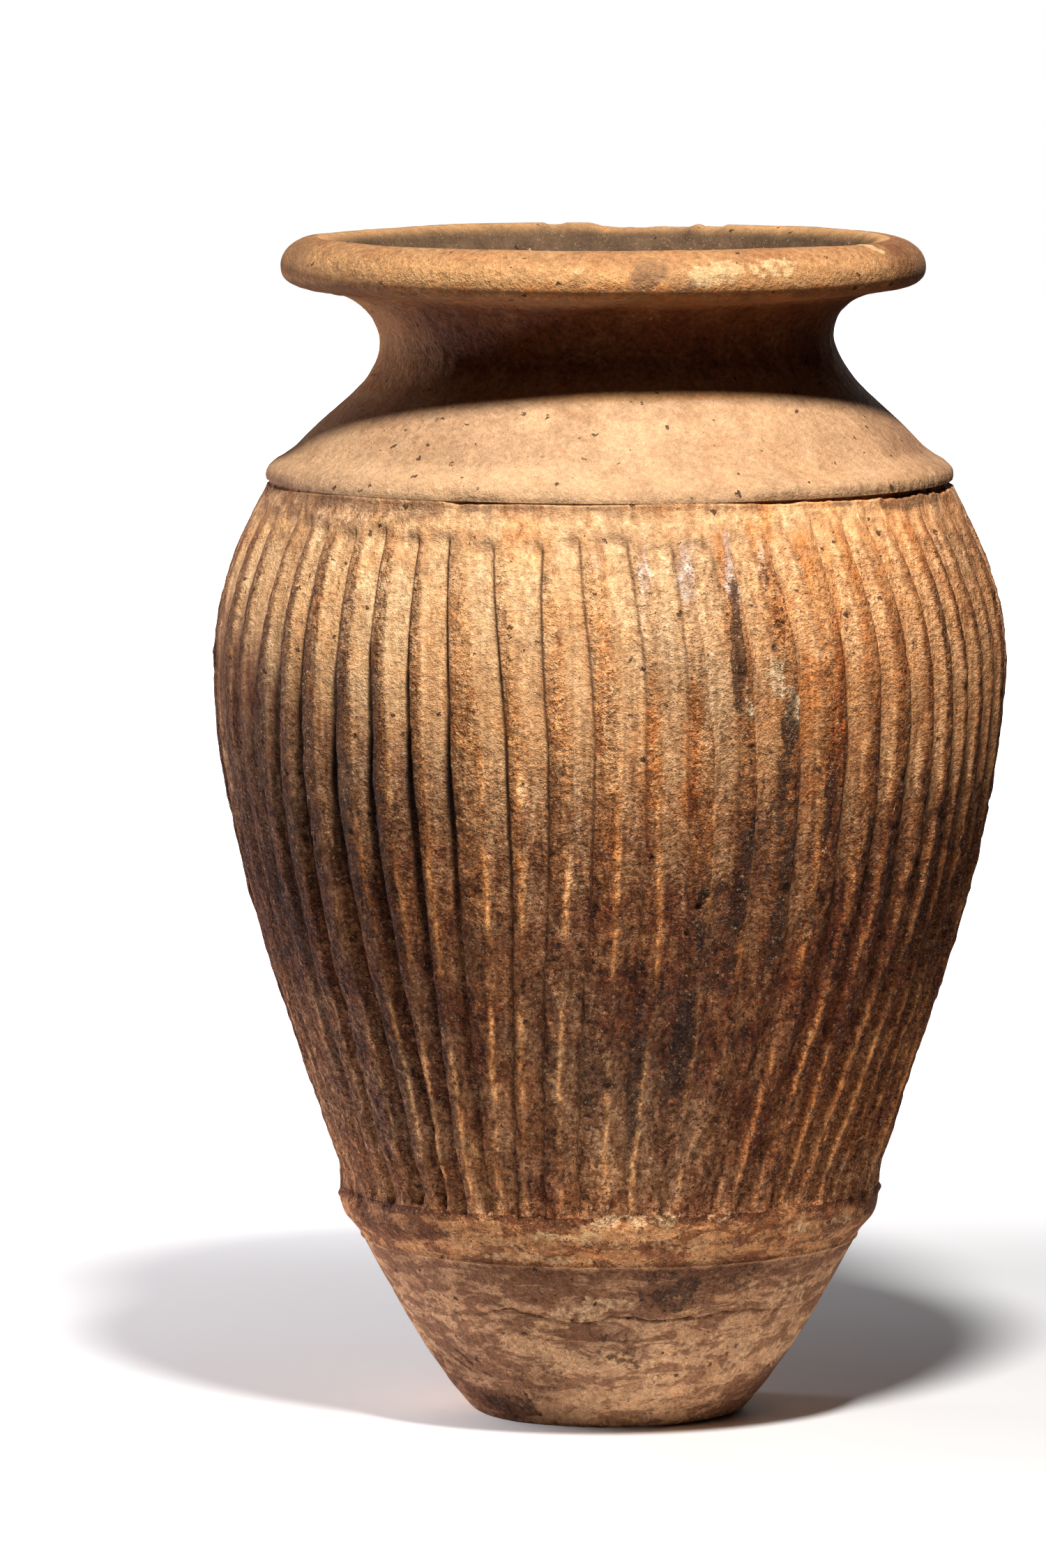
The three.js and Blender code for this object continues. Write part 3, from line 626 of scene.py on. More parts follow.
SHADE = [
    (-72, 664, 70, 13, 0.45), (-52, 665, 50, 12, 0.5), (-34, 667, 44, 8, 0.38), (-10, 668, 70, 6, 0.25),
    (-60, 642, 34, 16, 0.3), (-46, 642, 26, 12, 0.22), (8, 172, 90, 10, 0.35), (45, 172, 60, 12, 0.25),
    (-58, 50, 26, 26, 0.35), (-40, 50, 44, 22, 0.4), (-28, 36, 30, 14, 0.25), (4, 98, 22, 8, 0.3),
    (36, 135, 70, 12, 0.1), (-62, 150, 30, 10, 0.35), (74, 150, 30, 12, 0.4), (30, 121, 60, 6, 0.4),
    (-40, 725, 60, 22, 0.26, -10), (-22, 712, 60, 14, 0.22), (6, 735, 60, 6, 0.2), (-8, 724, 14, 16, 0.2, 30),
    (76, 712, 60, 30, 0.4), (74, 838, 50, 20, 0.5), (-58, 148, 34, 9, 0.6), (-46, 150, 26, 8, 0.5),
    (-50, 14, 34, 16, 0.6), (-66, 24, 26, 16, 0.5), (60, 16, 34, 14, 0.45), (74, 22, 26, 20, 0.6),
    (4, 122, 60, 6, 0.3), (24, 124, 40, 7, 0.35), (18, 108, 34, 10, 0.3), (-4, 80, 30, 8, 0.25),
    (-60, 540, 60, 40, 0.15), (-2, 648, 90, 16, 0.14), (-30, 646, 60, 16, 0.1), (16, 640, 40, 20, 0.12),
    (74, 640, 40, 34, 0.35), (60, 655, 30, 16, 0.2),
]

# Each kind of place with how ragged its outline is and the seed of that raggedness
PLACES = {
    "soot": (SOOT, 0.45, 61),
    "ochre": (OCHRE, 0.4, 62),
    "bloom": (BLOOM, 0.3, 63),
    "pale": (PALE, 0.45, 64),
    "stain_and_shade": (STAINS_AND_SHADE, 0.4, 65),
    "shade": (SHADE, 0.25, 66),
}

# How far a place spreads past its half width, from where it ends to where it is full
BLOT_EDGE = (1.55, 0.45)
BLOT_REACH = 3.2
BLOT_MARGIN = 8


def blots(places, angle, height, radius, torn):
    """Strength from 0 to 1 of soft-edged patches with a torn outline."""
    total = np.zeros_like(height)
    for a0, z0, wide, high, strength, *tilt in places:
        lean = math.radians(tilt[0] if tilt else 0)
        rows = np.abs(height[:, 0] - z0) < BLOT_REACH * max(high, wide * abs(math.sin(lean))) + BLOT_MARGIN
        side = np.radians(wrapped(angle[rows] - a0)) * radius[rows]
        up = height[rows] - z0
        across = side * math.cos(lean) - up * math.sin(lean)
        along = side * math.sin(lean) + up * math.cos(lean)
        reach = np.sqrt((across / wide) ** 2 + (along / high) ** 2)
        total[rows] = np.maximum(total[rows], strength * fade(*BLOT_EDGE, reach + torn[rows]))
    return total


# The marks that each mesh carries for its clay
MARKS = ("groove", "edge", "rough", "hole", "crack", "soot", "ochre", "bloom", "pale", "stain_and_shade", "inside",
         "painted_shade_and_dark_clay", "warm", "brown", "light", "painted_shade_flank", "lit")

# How dark the colour is, from 0 to 1, by height and by angle: darker clay, and painted shade on the lower
# belly, the neck, under the rim and at the right edge
DUSK_HEIGHTS = [0, 15, 30, 60, 80, 105, 122, 132, 140, 158, 166, 185, 200, 250, 300, 350, 400, 450, 500,
                560, 610, 672, 680, 738, 750, 765, 790, 806, 815, 823, 830, 838, 845, 849]
DUSK_LEVELS = [0, 0, 0, 0.05, 0.18, 0.25, 0.38, 0.1, 0, 0.1, 0.58, 0.69, 0.66, 0.76, 0.81, 0.84, 0.82, 0.54,
               0.06, 0, 0, 0.02, 0, 0, 0.3, 0.8, 0.9, 0.8, 0.3, 0, 0, 0.1, 0.38, 0.42]
DUSK_ANGLES = [-180, -120, -90, -60, -30, 0, 10, 20, 35, 50, 60, 72, 90, 120, 180]
DUSK_SHARES = [0.1, 0.15, 0.1, 0.04, 0, 0, 0.04, 0.1, 0.1, 0.12, 0.2, 0.35, 0.35, 0.15, 0.1]
# Painted shade on the neck in the rim's shadow, by angle, less toward the left
NECK_ANGLES = [-180, -120, -84, -66, -52, -40, 60, 90, 180]
NECK_SHARES = [0.5, 0.3, 0.05, 0.3, 0.8, 1.1, 1.1, 0.8, 0.5]

# How orange the clay is, from 0 to 1
WARM_HEIGHTS = [0, 60, 120, 200, 250, 300, 350, 400, 450, 500, 540, 570, 600, 640, 670, 682, 740, 760,
                800, 849]
WARM_LEVELS = [0.1, 0.1, 0.3, 0.5, 0.4, 0.5, 0.7, 0.8, 0.75, 0.6, 0.4, 0.2, 0.15, 0.05, 0.05, 0, 0, 0,
               0.2, 0.1]
WARM_ANGLES = [-180, -90, -60, -30, -15, 0, 15, 30, 45, 65, 90, 120, 180]
WARM_SHARES = [0.1, -0.3, -0.3, -0.1, 0.05, 0, 0.1, 0.5, 0.65, 0.65, 0.4, 0.1, 0.1]

# How much darker the crests between the flutes are than the flutes, from 0 to 1
BROWN_ANGLES = [-180, -120, -90, -60, -40, -28, -18, -5, 10, 20, 30, 45, 65, 90, 120, 180]
BROWN_SHARES = [0.6, 0.6, 0.8, 0.9, 0.8, 0.25, 0.0, 0.0, 0.0, 0.2, 0.4, 0.55, 0.75, 0.75, 0.6, 0.6]
# Painted light on the flutes at the left and right sides, where their floors face the lamp more
LIGHT_ANGLES = [-180, -120, -80, -45, -15, 0, 20, 38, 65, 90, 180]
LIGHT_SHARES = [0, 0.3, 1, 1, 0.4, 0.3, 0.3, 1.0, 1.0, 0.5, 0]
BROWN_HEIGHTS = [150, 200, 260, 330, 400, 500, 560, 610, 640, 662, 672]
BROWN_LEVELS = [0.0, 0.0, 0.1, 0.3, 0.9, 1.2, 1.1, 1.0, 0.55, 0.1, 0.0]
BROWN_MORE_HEIGHTS = [470, 520, 605, 635]
BROWN_MORE = [0.25, 0.0, 0.0, 0.22]


def tints(angle, height, x, y):
    """Painted shade with darker clay, orange tone, brown on the crests and painted light on the flutes, each
    from 0 to 1.
    """
    turned = wrapped(angle)
    belly = band(height, *BELLY_HEIGHTS)
    neck = band(height, *NECK_HEIGHTS)
    painted_shade_and_dark_clay = np.interp(height, DUSK_HEIGHTS, DUSK_LEVELS)
    painted_shade_and_dark_clay = painted_shade_and_dark_clay + (1 - painted_shade_and_dark_clay) * np.interp(turned, DUSK_ANGLES, DUSK_SHARES) * fade(150, 200, height)
    painted_shade_and_dark_clay = painted_shade_and_dark_clay * (1 + neck * (np.interp(turned, NECK_ANGLES, NECK_SHARES) - 1))
    painted_shade_and_dark_clay = painted_shade_and_dark_clay + 0.16 * layered(x, y, height * 0.5, 48, 81) * fade(0.02, 0.2, painted_shade_and_dark_clay)
    warm = np.interp(height, WARM_HEIGHTS, WARM_LEVELS)
    warm = warm + np.interp(turned, WARM_ANGLES, WARM_SHARES) * np.where(height > 200, 0.3 + 0.7 * belly, 0.3)
    warm = warm + 0.3 * layered(x, y, height * 0.4, 30, 83) * (0.3 + 0.7 * belly)
    light = np.interp(turned, LIGHT_ANGLES, LIGHT_SHARES) * belly * fade(500, 570, height)
    brown = np.interp(height, BROWN_HEIGHTS, BROWN_LEVELS) * np.interp(turned, BROWN_ANGLES, BROWN_SHARES)
    brown = brown + np.interp(height, BROWN_MORE_HEIGHTS, BROWN_MORE)
    brown = brown * (1 + 0.5 * layered(x, y, height * 0.3, 26, 85)) * belly
    levels = {"painted_shade_and_dark_clay": painted_shade_and_dark_clay, "warm": warm, "brown": brown, "light": light}
    return {name: np.clip(level, 0, 1) for name, level in levels.items()}


# The joint in the foot wanders with its crack, and takes the wall near it along up to this height
WANDER_TOP = 140
WANDER_HEIGHTS = (26, 60, 108, 122)
WANDER_HALF = 16
STEEPEST = 0.2


def outer_rings(spans):
    """Fine rings of the outer face; each span is a start, an end and a spacing along the outline."""
    places = [spans[0][0]]
    for start, end, spacing in spans:
        count = max(1, int(round((end - start) / spacing)))
        places.extend(start + (end - start) * (np.arange(count) + 1) / count)
    s = np.array(places)[:, None] + 0 * fine_angles[None, :]
    angle = fine_angles[None, :] + 0 * s
    r, z, nr, nz, move, marks, x, y = relief(angle, s)
    for name, (table, ragged, seed) in PLACES.items():
        marks[name] = blots(table, angle, z, r, layered(x, y, z, 14, seed) * ragged)
    marks.update(tints(angle, z, x, y))
    marks["inside"] = 0 * z
    lip_face = fade(674, 676.5, z) * fade(702, 692, z)
    marks["stain_and_shade"] = marks["stain_and_shade"] * (1 - 0.9 * lip_face)
    # Painted shade from the shade places and the flutes that fall into shade darkens the colour, less along
    # the painted highlights
    shade = np.maximum(marks["shade"] * (1 - 0.85 * lip_face), marks["shaded"])
    marks["painted_shade_and_dark_clay"] = (marks["painted_shade_and_dark_clay"] + (1 - marks["painted_shade_and_dark_clay"]) * shade) * (1 - 0.85 * marks["lit"])
    marks["soot"] = marks["soot"] * (1 - 0.5 * marks["open"])
    if z.min() < WANDER_TOP:
        shift = (foot_crack_height(angle) - FOOT_JOINT) * bell(z, FOOT_JOINT, WANDER_HALF)
        shift = shift * band(z, *WANDER_HEIGHTS)
        slope = -nz / np.maximum(nr, STEEPEST)
        z = z + shift
        r = r + shift * slope
    r = r + nr * move
    z = np.maximum(z + nz * move, 0.0)
    return [{"angle": fine_angles, "r": r[row], "z": z[row], "marks": {key: marks[key][row] for key in MARKS}}
            for row in range(len(places))]


# How far along the inner outline its relief takes over from the outer one's, and the clay inside begins
CREST_BLEND = 10
INSIDE_EDGE = (3, 20)


def inner_rings(top, foot, spacing, fine=False):
    """Rings of the inner face from a place on the inner outline down to another."""
    angles = fine_angles if fine else coarse_angles
    turn = np.radians(angles)
    count = max(1, int(round((foot - top) / spacing)))
    rings = []
    for step in range(count + 1):
        s = top + (foot - top) * step / count
        r, z, nr, nz = curve_at(inner_curve, s)
        x = r * np.sin(turn)
        y = -r * np.cos(turn)
        chipped = chips(angles, x, y, z)
        move = 0.9 * noise(x, y, z, 60, 71) + 0.35 * noise(x, y, z * 2.5, 18, 72) - chipped
        if fine:
            move = move + 0.25 * noise(x, y, z, 6, 73)
        if s < CREST_BLEND:
            blend = fade(0, CREST_BLEND, s)
            like_outer = 0.9 * noise(x, y, z, 95, 1) + 0.225 * noise(x, y, z, 38, 2)
            like_outer = like_outer + 0.12 * noise(x, y, z, 6.5, 9)
            move = (like_outer - chipped) * (1 - blend) + move * blend
        rings.append(plain_ring(r + nr * move, z + nz * move, fade(*INSIDE_EDGE, s), angles))
    return rings


def rim_share(height):
    return fade(NECK_JOINT, RIM_JOINT, height)


def stitch(low, high, low_start, high_start):
    """Triangles between two rings with different numbers of columns."""
    faces = []
    low_angles = np.r_[low, low[0] + 360]
    high_angles = np.r_[high, high[0] + 360]
    i = 0
    j = 0
    while i < len(low) or j < len(high):
        step_low = j == len(high) or (i < len(low) and low_angles[i + 1] <= high_angles[j + 1])
        a = low_start + i % len(low)
        b = high_start + j % len(high)
        if step_low:
            faces.append((a, low_start + (i + 1) % len(low), b))
            i += 1
        else:
            faces.append((a, high_start + (j + 1) % len(high), b))
            j += 1
    return faces


def ring_mesh(name, rings, sharp, closed):
    """A mesh from rings in order around a section; sharp lists the rings with a crisp edge."""
    starts = np.r_[0, np.cumsum([len(ring["angle"]) for ring in rings])]
    angle = np.concatenate([ring["angle"] for ring in rings])
    r = np.concatenate([ring["r"] for ring in rings])
    z = np.concatenate([ring["z"] for ring in rings])
    turn = np.radians(angle)
    coords = np.stack([r * np.sin(turn) + RIM_SHIFT * rim_share(z), -r * np.cos(turn), z], axis=1) * MM
    quads = []
    tris = []
    pairs = [(k, k + 1) for k in range(len(rings) - 1)]
    if closed:
        pairs.append((len(rings) - 1, 0))
    for k, m in pairs:
        n = len(rings[k]["angle"])
        if n == len(rings[m]["angle"]):
            i = np.arange(n)
            j = (i + 1) % n
            quads.append(np.stack([starts[k] + i, starts[k] + j, starts[m] + j, starts[m] + i], axis=1))
        else:
            tris.extend(stitch(rings[k]["angle"], rings[m]["angle"], starts[k], starts[m]))
    quads = np.concatenate(quads)
    tris = np.array(tris, int).reshape(-1, 3)
    if not closed:
        tris = np.concatenate([tris, cap(rings[0], starts[0], False), cap(rings[-1], starts[-2], True)])
    mesh = bpy.data.meshes.new(name)
    mesh.vertices.add(len(coords))
    mesh.vertices.foreach_set("co", coords.ravel())
    loops = np.concatenate([quads.ravel(), tris.ravel()])
    mesh.loops.add(len(loops))
    mesh.loops.foreach_set("vertex_index", loops.astype(np.int32))
    mesh.polygons.add(len(quads) + len(tris))
    first = np.r_[np.arange(len(quads)) * 4, len(quads) * 4 + np.arange(len(tris)) * 3]
    mesh.polygons.foreach_set("loop_start", first.astype(np.int32))
    mesh.update(calc_edges=True)
    for key in MARKS:
        layer = mesh.attributes.new(key, "FLOAT", "POINT")
        values = np.concatenate([ring["marks"][key] for ring in rings])
        layer.data.foreach_set("value", values.astype(np.float32))
    mesh.shade_smooth()
    owner = np.concatenate([np.full(len(ring["angle"]), k) for k, ring in enumerate(rings)])
    ends = np.empty(len(mesh.edges) * 2, dtype=np.int32)
    mesh.edges.foreach_get("vertices", ends)
    ends = owner[ends.reshape(-1, 2)]
    crisp = (ends[:, 0] == ends[:, 1]) & np.isin(ends[:, 0], np.array(sharp) % len(rings))
    layer = mesh.attributes.get("sharp_edge") or mesh.attributes.new("sharp_edge", "BOOLEAN", "EDGE")
    layer.data.foreach_set("value", crisp)
    mesh.validate()
    return mesh


def cap(ring, start, upward):
    """A fan of triangles that closes a ring whose points lie almost on the axis."""
    n = len(ring["angle"])
    i = np.arange(1, n - 1)
    faces = np.stack([np.full(n - 2, start), start + i, start + i + 1], axis=1)
    return faces if upward else faces[:, ::-1]


def plain_ring(radius, height, inside=0.0, angles=coarse_angles):
    zero = 0 * angles
    marks = {key: zero for key in MARKS}
    marks["inside"] = zero + inside
    return {"angle": angles, "r": zero + radius, "z": zero + height, "marks": marks}


# Node trees, written as short sums

class Value:
    """An output of a node that can be added, taken away and multiplied."""

    def __init__(self, tree, socket):
        self.tree = tree
        self.socket = socket

    def __add__(self, other):
        return self.tree.math("ADD", self, other)

    def __sub__(self, other):
        return self.tree.math("SUBTRACT", self, other)

    def __rsub__(self, other):
        return self.tree.math("SUBTRACT", other, self)

    def __mul__(self, other):
        return self.tree.math("MULTIPLY", self, other)


class Tree:
    def __init__(self, owner):
        owner.use_nodes = True
        self.owner = owner
        self.nodes = owner.node_tree.nodes
        self.links = owner.node_tree.links
        self.nodes.clear()
        self.coords = None
        self.pushed = None

    def plug(self, socket, value):
        if isinstance(value, Value):
            self.links.new(value.socket, socket)
        elif isinstance(value, (tuple, list)) and len(value) == 3 and socket.type == "RGBA":
            socket.default_value = (*value, 1)
        else:
            socket.default_value = value

    def node(self, kind, inputs=(), output=0, **settings):
        """The given output of a new node; its inputs are listed in order or named."""
        node = self.nodes.new("ShaderNode" + kind)
        for name, value in settings.items():
            setattr(node, name, value)
        for name, value in inputs.items() if isinstance(inputs, dict) else enumerate(inputs):
            self.plug(node.inputs[name], value)
        return Value(self, node.outputs[output]) if len(node.outputs) else None

    def math(self, operation, first, second=0.0, clamp=False):
        return self.node("Math", (first, second), operation=operation, use_clamp=clamp)

    def clamped(self, value, amount):
        return self.math("MULTIPLY", value, amount, clamp=True)

    def largest(self, first, *others):
        for other in others:
            first = self.math("MAXIMUM", first, other)
        return first

    def scaled(self, value, low, high, to_low=0.0, to_high=1.0):
        return self.node("MapRange", (value, low, high, to_low, to_high), interpolation_type="SMOOTHSTEP")

    def mark(self, name):
        return self.node("Attribute", output="Fac", attribute_name=name)

    def place(self, stretch=None):
        if self.coords is None:
            self.coords = self.node("TexCoord", output="Object")
        if stretch is None:
            return self.coords
        return self.node("Mapping", {"Vector": self.coords, "Scale": stretch})

    def noise(self, scale, detail, rough, stretch=None, warp=0.0, output="Fac"):
        inputs = {"Vector": self.place(stretch), "Scale": scale, "Detail": detail, "Roughness": rough,
                  "Distortion": warp}
        return self.node("TexNoise", inputs, output)

    def cells(self, scale):
        """Cells with torn outlines: the distance from the middle of each, a chance and a tone for each."""
        if self.pushed is None:
            push = self.noise(420, 2, 0.5, output="Color")
            reach = (0.0065, 0.0065, 0.0065)
            self.pushed = self.node("VectorMath", (push, reach, self.place()), operation="MULTIPLY_ADD")
        distance = self.node("TexVoronoi", {"Vector": self.pushed, "Scale": scale}, "Distance")
        colours = Value(self, distance.socket.node.outputs["Color"])
        chance = self.node("SeparateColor", (colours,))
        return distance, chance, Value(self, chance.socket.node.outputs[1])

    def mix(self, share, first, second, blend="MIX"):
        return self.node("Mix", {0: share, 6: first, 7: second}, 2, data_type="RGBA", blend_type=blend)

    def product(self, first, second):
        return self.mix(1.0, first, second, "MULTIPLY")

    def tint(self, share, colour, factor):
        """The colour multiplied by a factor where the share says so."""
        return self.mix(share, colour, self.product(colour, factor))

    def grown(self, name, wander, low, high, most):
        """A painted mark with its edge broken up by noise."""
        mark = self.mark(name)
        share = self.scaled(mark + wander, low, high)
        return share * self.scaled(mark, 0.02, 0.25) * most

    def spots(self, scale, size, share):
        """Scattered spots with torn outlines: 1 inside a spot, for a share of the cells."""
        distance, chance, tone = self.cells(scale)
        edge = tone * tone * (size * 1.2) + size * 0.3 - distance
        return self.clamped(edge, 6.0 / size) * self.math("LESS_THAN", chance, share)


def off(value, amount):
    """A noise value moved to swing about zero."""
    return (value - 0.5) * amount


CLAYS = {
    # name: flute or lit clay, crest or second clay, warm crest, brown shade, pale wear, grit, tone swing
    "foot_clay": ((1.0, 0.63, 0.36), (0.92, 0.52, 0.28), (0.66, 0.33, 0.15), (0.14, 0.066, 0.038),
                  (0.86, 0.53, 0.31), 0.7, 0.75),
    "cordon_clay": ((1.0, 0.66, 0.36), (1.0, 0.55, 0.26), (0.68, 0.31, 0.12), (0.14, 0.064, 0.033),
                    (0.90, 0.56, 0.30), 1.0, 0.7),
    "belly_clay": ((0.92, 0.56, 0.285), (0.98, 0.57, 0.28), (0.92, 0.46, 0.175), (0.17, 0.078, 0.040),
                   (0.95, 0.68, 0.42), 1.0, 0.55),
    "shoulder_clay": ((0.72, 0.450, 0.250), (0.65, 0.39, 0.205), (0.62, 0.34, 0.15), (0.26, 0.14, 0.072),
                      (0.74, 0.52, 0.33), 0.2, 0.6),
    "rim_clay": ((0.72, 0.395, 0.170), (0.62, 0.33, 0.135), (0.64, 0.31, 0.11), (0.17, 0.085, 0.045),
                 (0.80, 0.54, 0.29), 0.5, 0.5),
}


# How much of the foot's and the cordon's clay lies under a dark film
FILM_SHARES = {"foot_clay": 0.8, "cordon_clay": 0.9}

# Dark grains are redder than light ones
GRAIN_POWERS = (0.78, 1.0, 1.24)

# Grains per metre of crumbs and sand, spots per metre, and the colours of soot, the dark inside, bloom and
# the painted shade in cavities
CRUMBS = 450
SAND = 820
DARK_SPECKS = 120
BIG_SPECKS = 52
WHITE_SPECKS = 125
SOOT_COLOUR = (0.050, 0.026, 0.016)
INSIDE_DARK_COLOUR = (0.062, 0.036, 0.020)
INSIDE_DARK_COLOUR_LIGHT = (0.108, 0.064, 0.036)
BLOOM_COLOUR = (0.70, 0.56, 0.50)
CAVITY_COLOUR = (0.030, 0.013, 0.007)


def clay(name):
    smooth_colour, crest_colour, warm_colour, brown, pale, grit, swing = CLAYS[name]
    belly = name == "belly_clay"
    tree = Tree(bpy.data.materials.new(name))
    groove, rough, warm, painted_shade_and_dark_clay = [tree.mark(mark) for mark in ("groove", "rough", "warm", "painted_shade_and_dark_clay")]

    broad = tree.noise(9, 3, 0.55)
    patch = tree.noise(34, 4, 0.6, warp=0.4)
    middle = tree.noise(110, 4, 0.6)
    coarse = tree.noise(230, 2, 0.5)
    fine = tree.noise(430, 3, 0.6)
    dust = tree.noise(1100, 2, 0.55)
    streak = tree.noise(1, 3, 0.55, (260, 260, 16))

    # Base colour: smooth clay in the flutes, torn clay on the ridges
    crest = tree.mix(warm, crest_colour, warm_colour)
    crest = tree.tint(tree.mark("brown"), crest, (0.42, 0.355, 0.31))
    smooth = tree.scaled(patch, 0.35, 0.65)
    if name in ("belly_clay", "cordon_clay"):
        smooth = tree.scaled(groove + off(middle, 0.5) + off(coarse, 0.35), 0.2, 0.8)
    colour = tree.mix(smooth, crest, smooth_colour)
    tone = tree.scaled(broad * 0.45 + patch * 0.3 + streak * 0.25, 0.36, 0.64)
    colour = tree.mix((1.0 - tone) * swing, colour, tree.mix(0.5, colour, brown))
    colour = tree.tint(warm, colour, (1.06, 0.86, 0.68))
    if belly:
        # Painted light on the flutes that face the lamp
        colour = tree.tint(tree.mark("light"), colour, (1.17, 1.16, 1.14))
    rust = tree.scaled(patch * 0.55 + middle * 0.3 + streak * 0.15, 0.44, 0.62)
    colour = tree.tint(rust * (0.30 + 0.25 * grit), colour, (0.90, 0.70, 0.52))
    # Painted shade on the ridges' sides that face away from the lamp
    colour = tree.tint(tree.mark("painted_shade_flank") * 0.85, colour, (0.31, 0.21, 0.15))
    # Painted shade and darker clay
    colour = tree.tint(painted_shade_and_dark_clay + off(patch, 1.2) * painted_shade_and_dark_clay, colour, (0.30, 0.200, 0.195))
    if belly:
        # Painted highlight along the ridge edges that face the lamp
        lit = tree.mark("lit") * tree.scaled(off(middle, 1.0) + streak, 0.3, 0.6, 0.35, 1.0)
        colour = tree.tint(lit, colour, (1.82, 1.78, 1.66))
    if name == "shoulder_clay":
        smudge = tree.scaled(tree.noise(17, 6, 0.68, (1, 1, 1.6), 0.8), 0.50, 0.68)
        colour = tree.tint(smudge * 0.5, colour, (0.66, 0.56, 0.46))
    if name in FILM_SHARES:
        film = tree.scaled(tree.noise(34, 7, 0.7, (1, 1, 2.6), 0.6) + painted_shade_and_dark_clay * 0.18, 0.49, 0.58)
        colour = tree.tint(film * FILM_SHARES[name], colour, (0.38, 0.28, 0.25))

    # Worn and stained places
    ochre = tree.grown("ochre", off(middle, 1.0) + off(fine, 0.5), 0.2, 0.8, 1.0)
    colour = tree.tint(ochre, colour, (1.02, 0.80, 0.60))
    # Paler places, and painted light on the rim's front face
    worn = tree.grown("pale", off(middle, 1.1) + off(coarse, 0.9), 0.4, 0.7, 0.7)
    colour = tree.mix(worn, colour, tree.product(pale, (0.92, 0.88, 0.80)))
    bloom = tree.grown("bloom", off(streak, 1.2) + off(fine, 1.2), 0.35, 1.1, 0.5)
    colour = tree.mix(bloom, colour, BLOOM_COLOUR)
    # Stains, and painted shade in the creases
    stain_and_shade = tree.grown("stain_and_shade", off(middle, 1.2) + off(coarse, 0.9), 0.3, 1.0, 0.75)
    colour = tree.mix(stain_and_shade, colour, brown)
    soot = tree.grown("soot", off(streak, 1.0) + off(middle, 1.6) + off(coarse, 1.2), 0.30, 0.72, 0.92)
    sooty = tree.mix(0.25, SOOT_COLOUR, tree.product(colour, (0.5, 0.4, 0.3)))
    colour = tree.mix(soot, colour, sooty)
    # Dark brown inside
    inside_dark = tree.mix(tree.scaled(patch, 0.35, 0.65), INSIDE_DARK_COLOUR, INSIDE_DARK_COLOUR_LIGHT)
    colour = tree.mix(tree.mark("inside") * 0.94, colour, inside_dark)

    # Grains and crumbs of torn clay, sand and inclusions
    crumb_distance, crumb_chance, crumb_tone = tree.cells(CRUMBS)
    sand_distance, sand_chance, sand_tone = tree.cells(SAND)
    torn = rough * (0.92 * grit) + 0.08
    body = tree.clamped(0.5 - crumb_distance, 4.0) * tree.scaled(torn, 0.0, 0.8)
    crowd = tree.scaled(middle * 0.6 + patch * 0.4, 0.38, 0.62, 0.05, 0.34)
    lost = tree.math("LESS_THAN", crumb_chance, crowd) * body
    chalk = tree.math("GREATER_THAN", crumb_chance, 0.85) * body
    bead = tree.clamped(0.5 - sand_distance, 5.0)
    hollow = tree.math("LESS_THAN", sand_chance, 0.09) * bead
    glint = tree.math("GREATER_THAN", sand_chance, 0.93) * bead
    dark_specks = tree.spots(DARK_SPECKS, 0.18, 0.32)
    big_specks = tree.spots(BIG_SPECKS, 0.085, 0.2)
    white_specks = tree.spots(WHITE_SPECKS, 0.15, 0.10)
    uneven = rough * 0.35 + painted_shade_and_dark_clay * 0.45 + 0.38
    level = tree.scaled(dust, 0.3, 0.7, 0.88, 1.12) * (off(sand_tone, 0.26) + 1.0)
    level = level * (off(crumb_tone, 1.3) * torn * uneven + 1.0)
    level = level * (off(coarse * 0.5 + middle * 0.5, 3.3) * uneven + 1.0)
    if belly:
        lines = streak * 0.6 + tree.noise(1, 2, 0.5, (120, 120, 11)) * 0.4
        level = level * (off(lines, 4.4) * uneven + 1.0)
    level = tree.largest(level, 0.08)
    grain = tree.node("CombineColor", [tree.math("POWER", level, power) for power in GRAIN_POWERS])
    colour = tree.product(colour, grain)
    bright = tree.tint(painted_shade_and_dark_clay * 0.75, pale, (0.54, 0.38, 0.31))
    for share in (chalk * 0.75, glint * 0.35, white_specks * 0.5):
        colour = tree.mix(share, colour, bright)
    # Painted shade in lost crumbs, sand hollows, pits, cracks and the flutes' right corners, with the clay's
    # dark specks
    cavity = tree.largest(lost * 0.72, hollow * 0.4, dark_specks * 0.85, big_specks * 0.8,
                          tree.mark("edge") * 0.92, tree.mark("crack") * 0.5, tree.mark("hole") * 0.92)
    colour = tree.mix(cavity, colour, CAVITY_COLOUR)

    # Height of the fine relief in metres
    height = off(dust, 0.0005) + sand_distance * (-0.00016 - 0.00008 * grit)
    height = height + crumb_distance * torn * -0.0011
    for layer, even, more in ((fine, 0.0006, 0.0008), (coarse, 0.0008, 0.0022), (middle, 0.0014, 0.0030)):
        height = height + (layer - 0.5) * (rough * (more * grit) + even)
    height = height + off(streak, 0.0005) * groove + lost * -0.0014 + chalk * 0.0006
    height = height + tree.largest(dark_specks, big_specks) * -0.0004
    bump = tree.node("Bump", {"Height": height, "Strength": 1.0, "Distance": 1.0})
    roughness = tree.scaled(middle, 0.3, 0.7, 0.76, 0.92)
    surface = {"Base Color": colour, "Roughness": roughness, "Specular IOR Level": 0.28, "Normal": bump}
    tree.node("OutputMaterial", {"Surface": tree.node("BsdfPrincipled", surface)})
    return tree.owner


materials = {name: clay(name) for name in CLAYS}


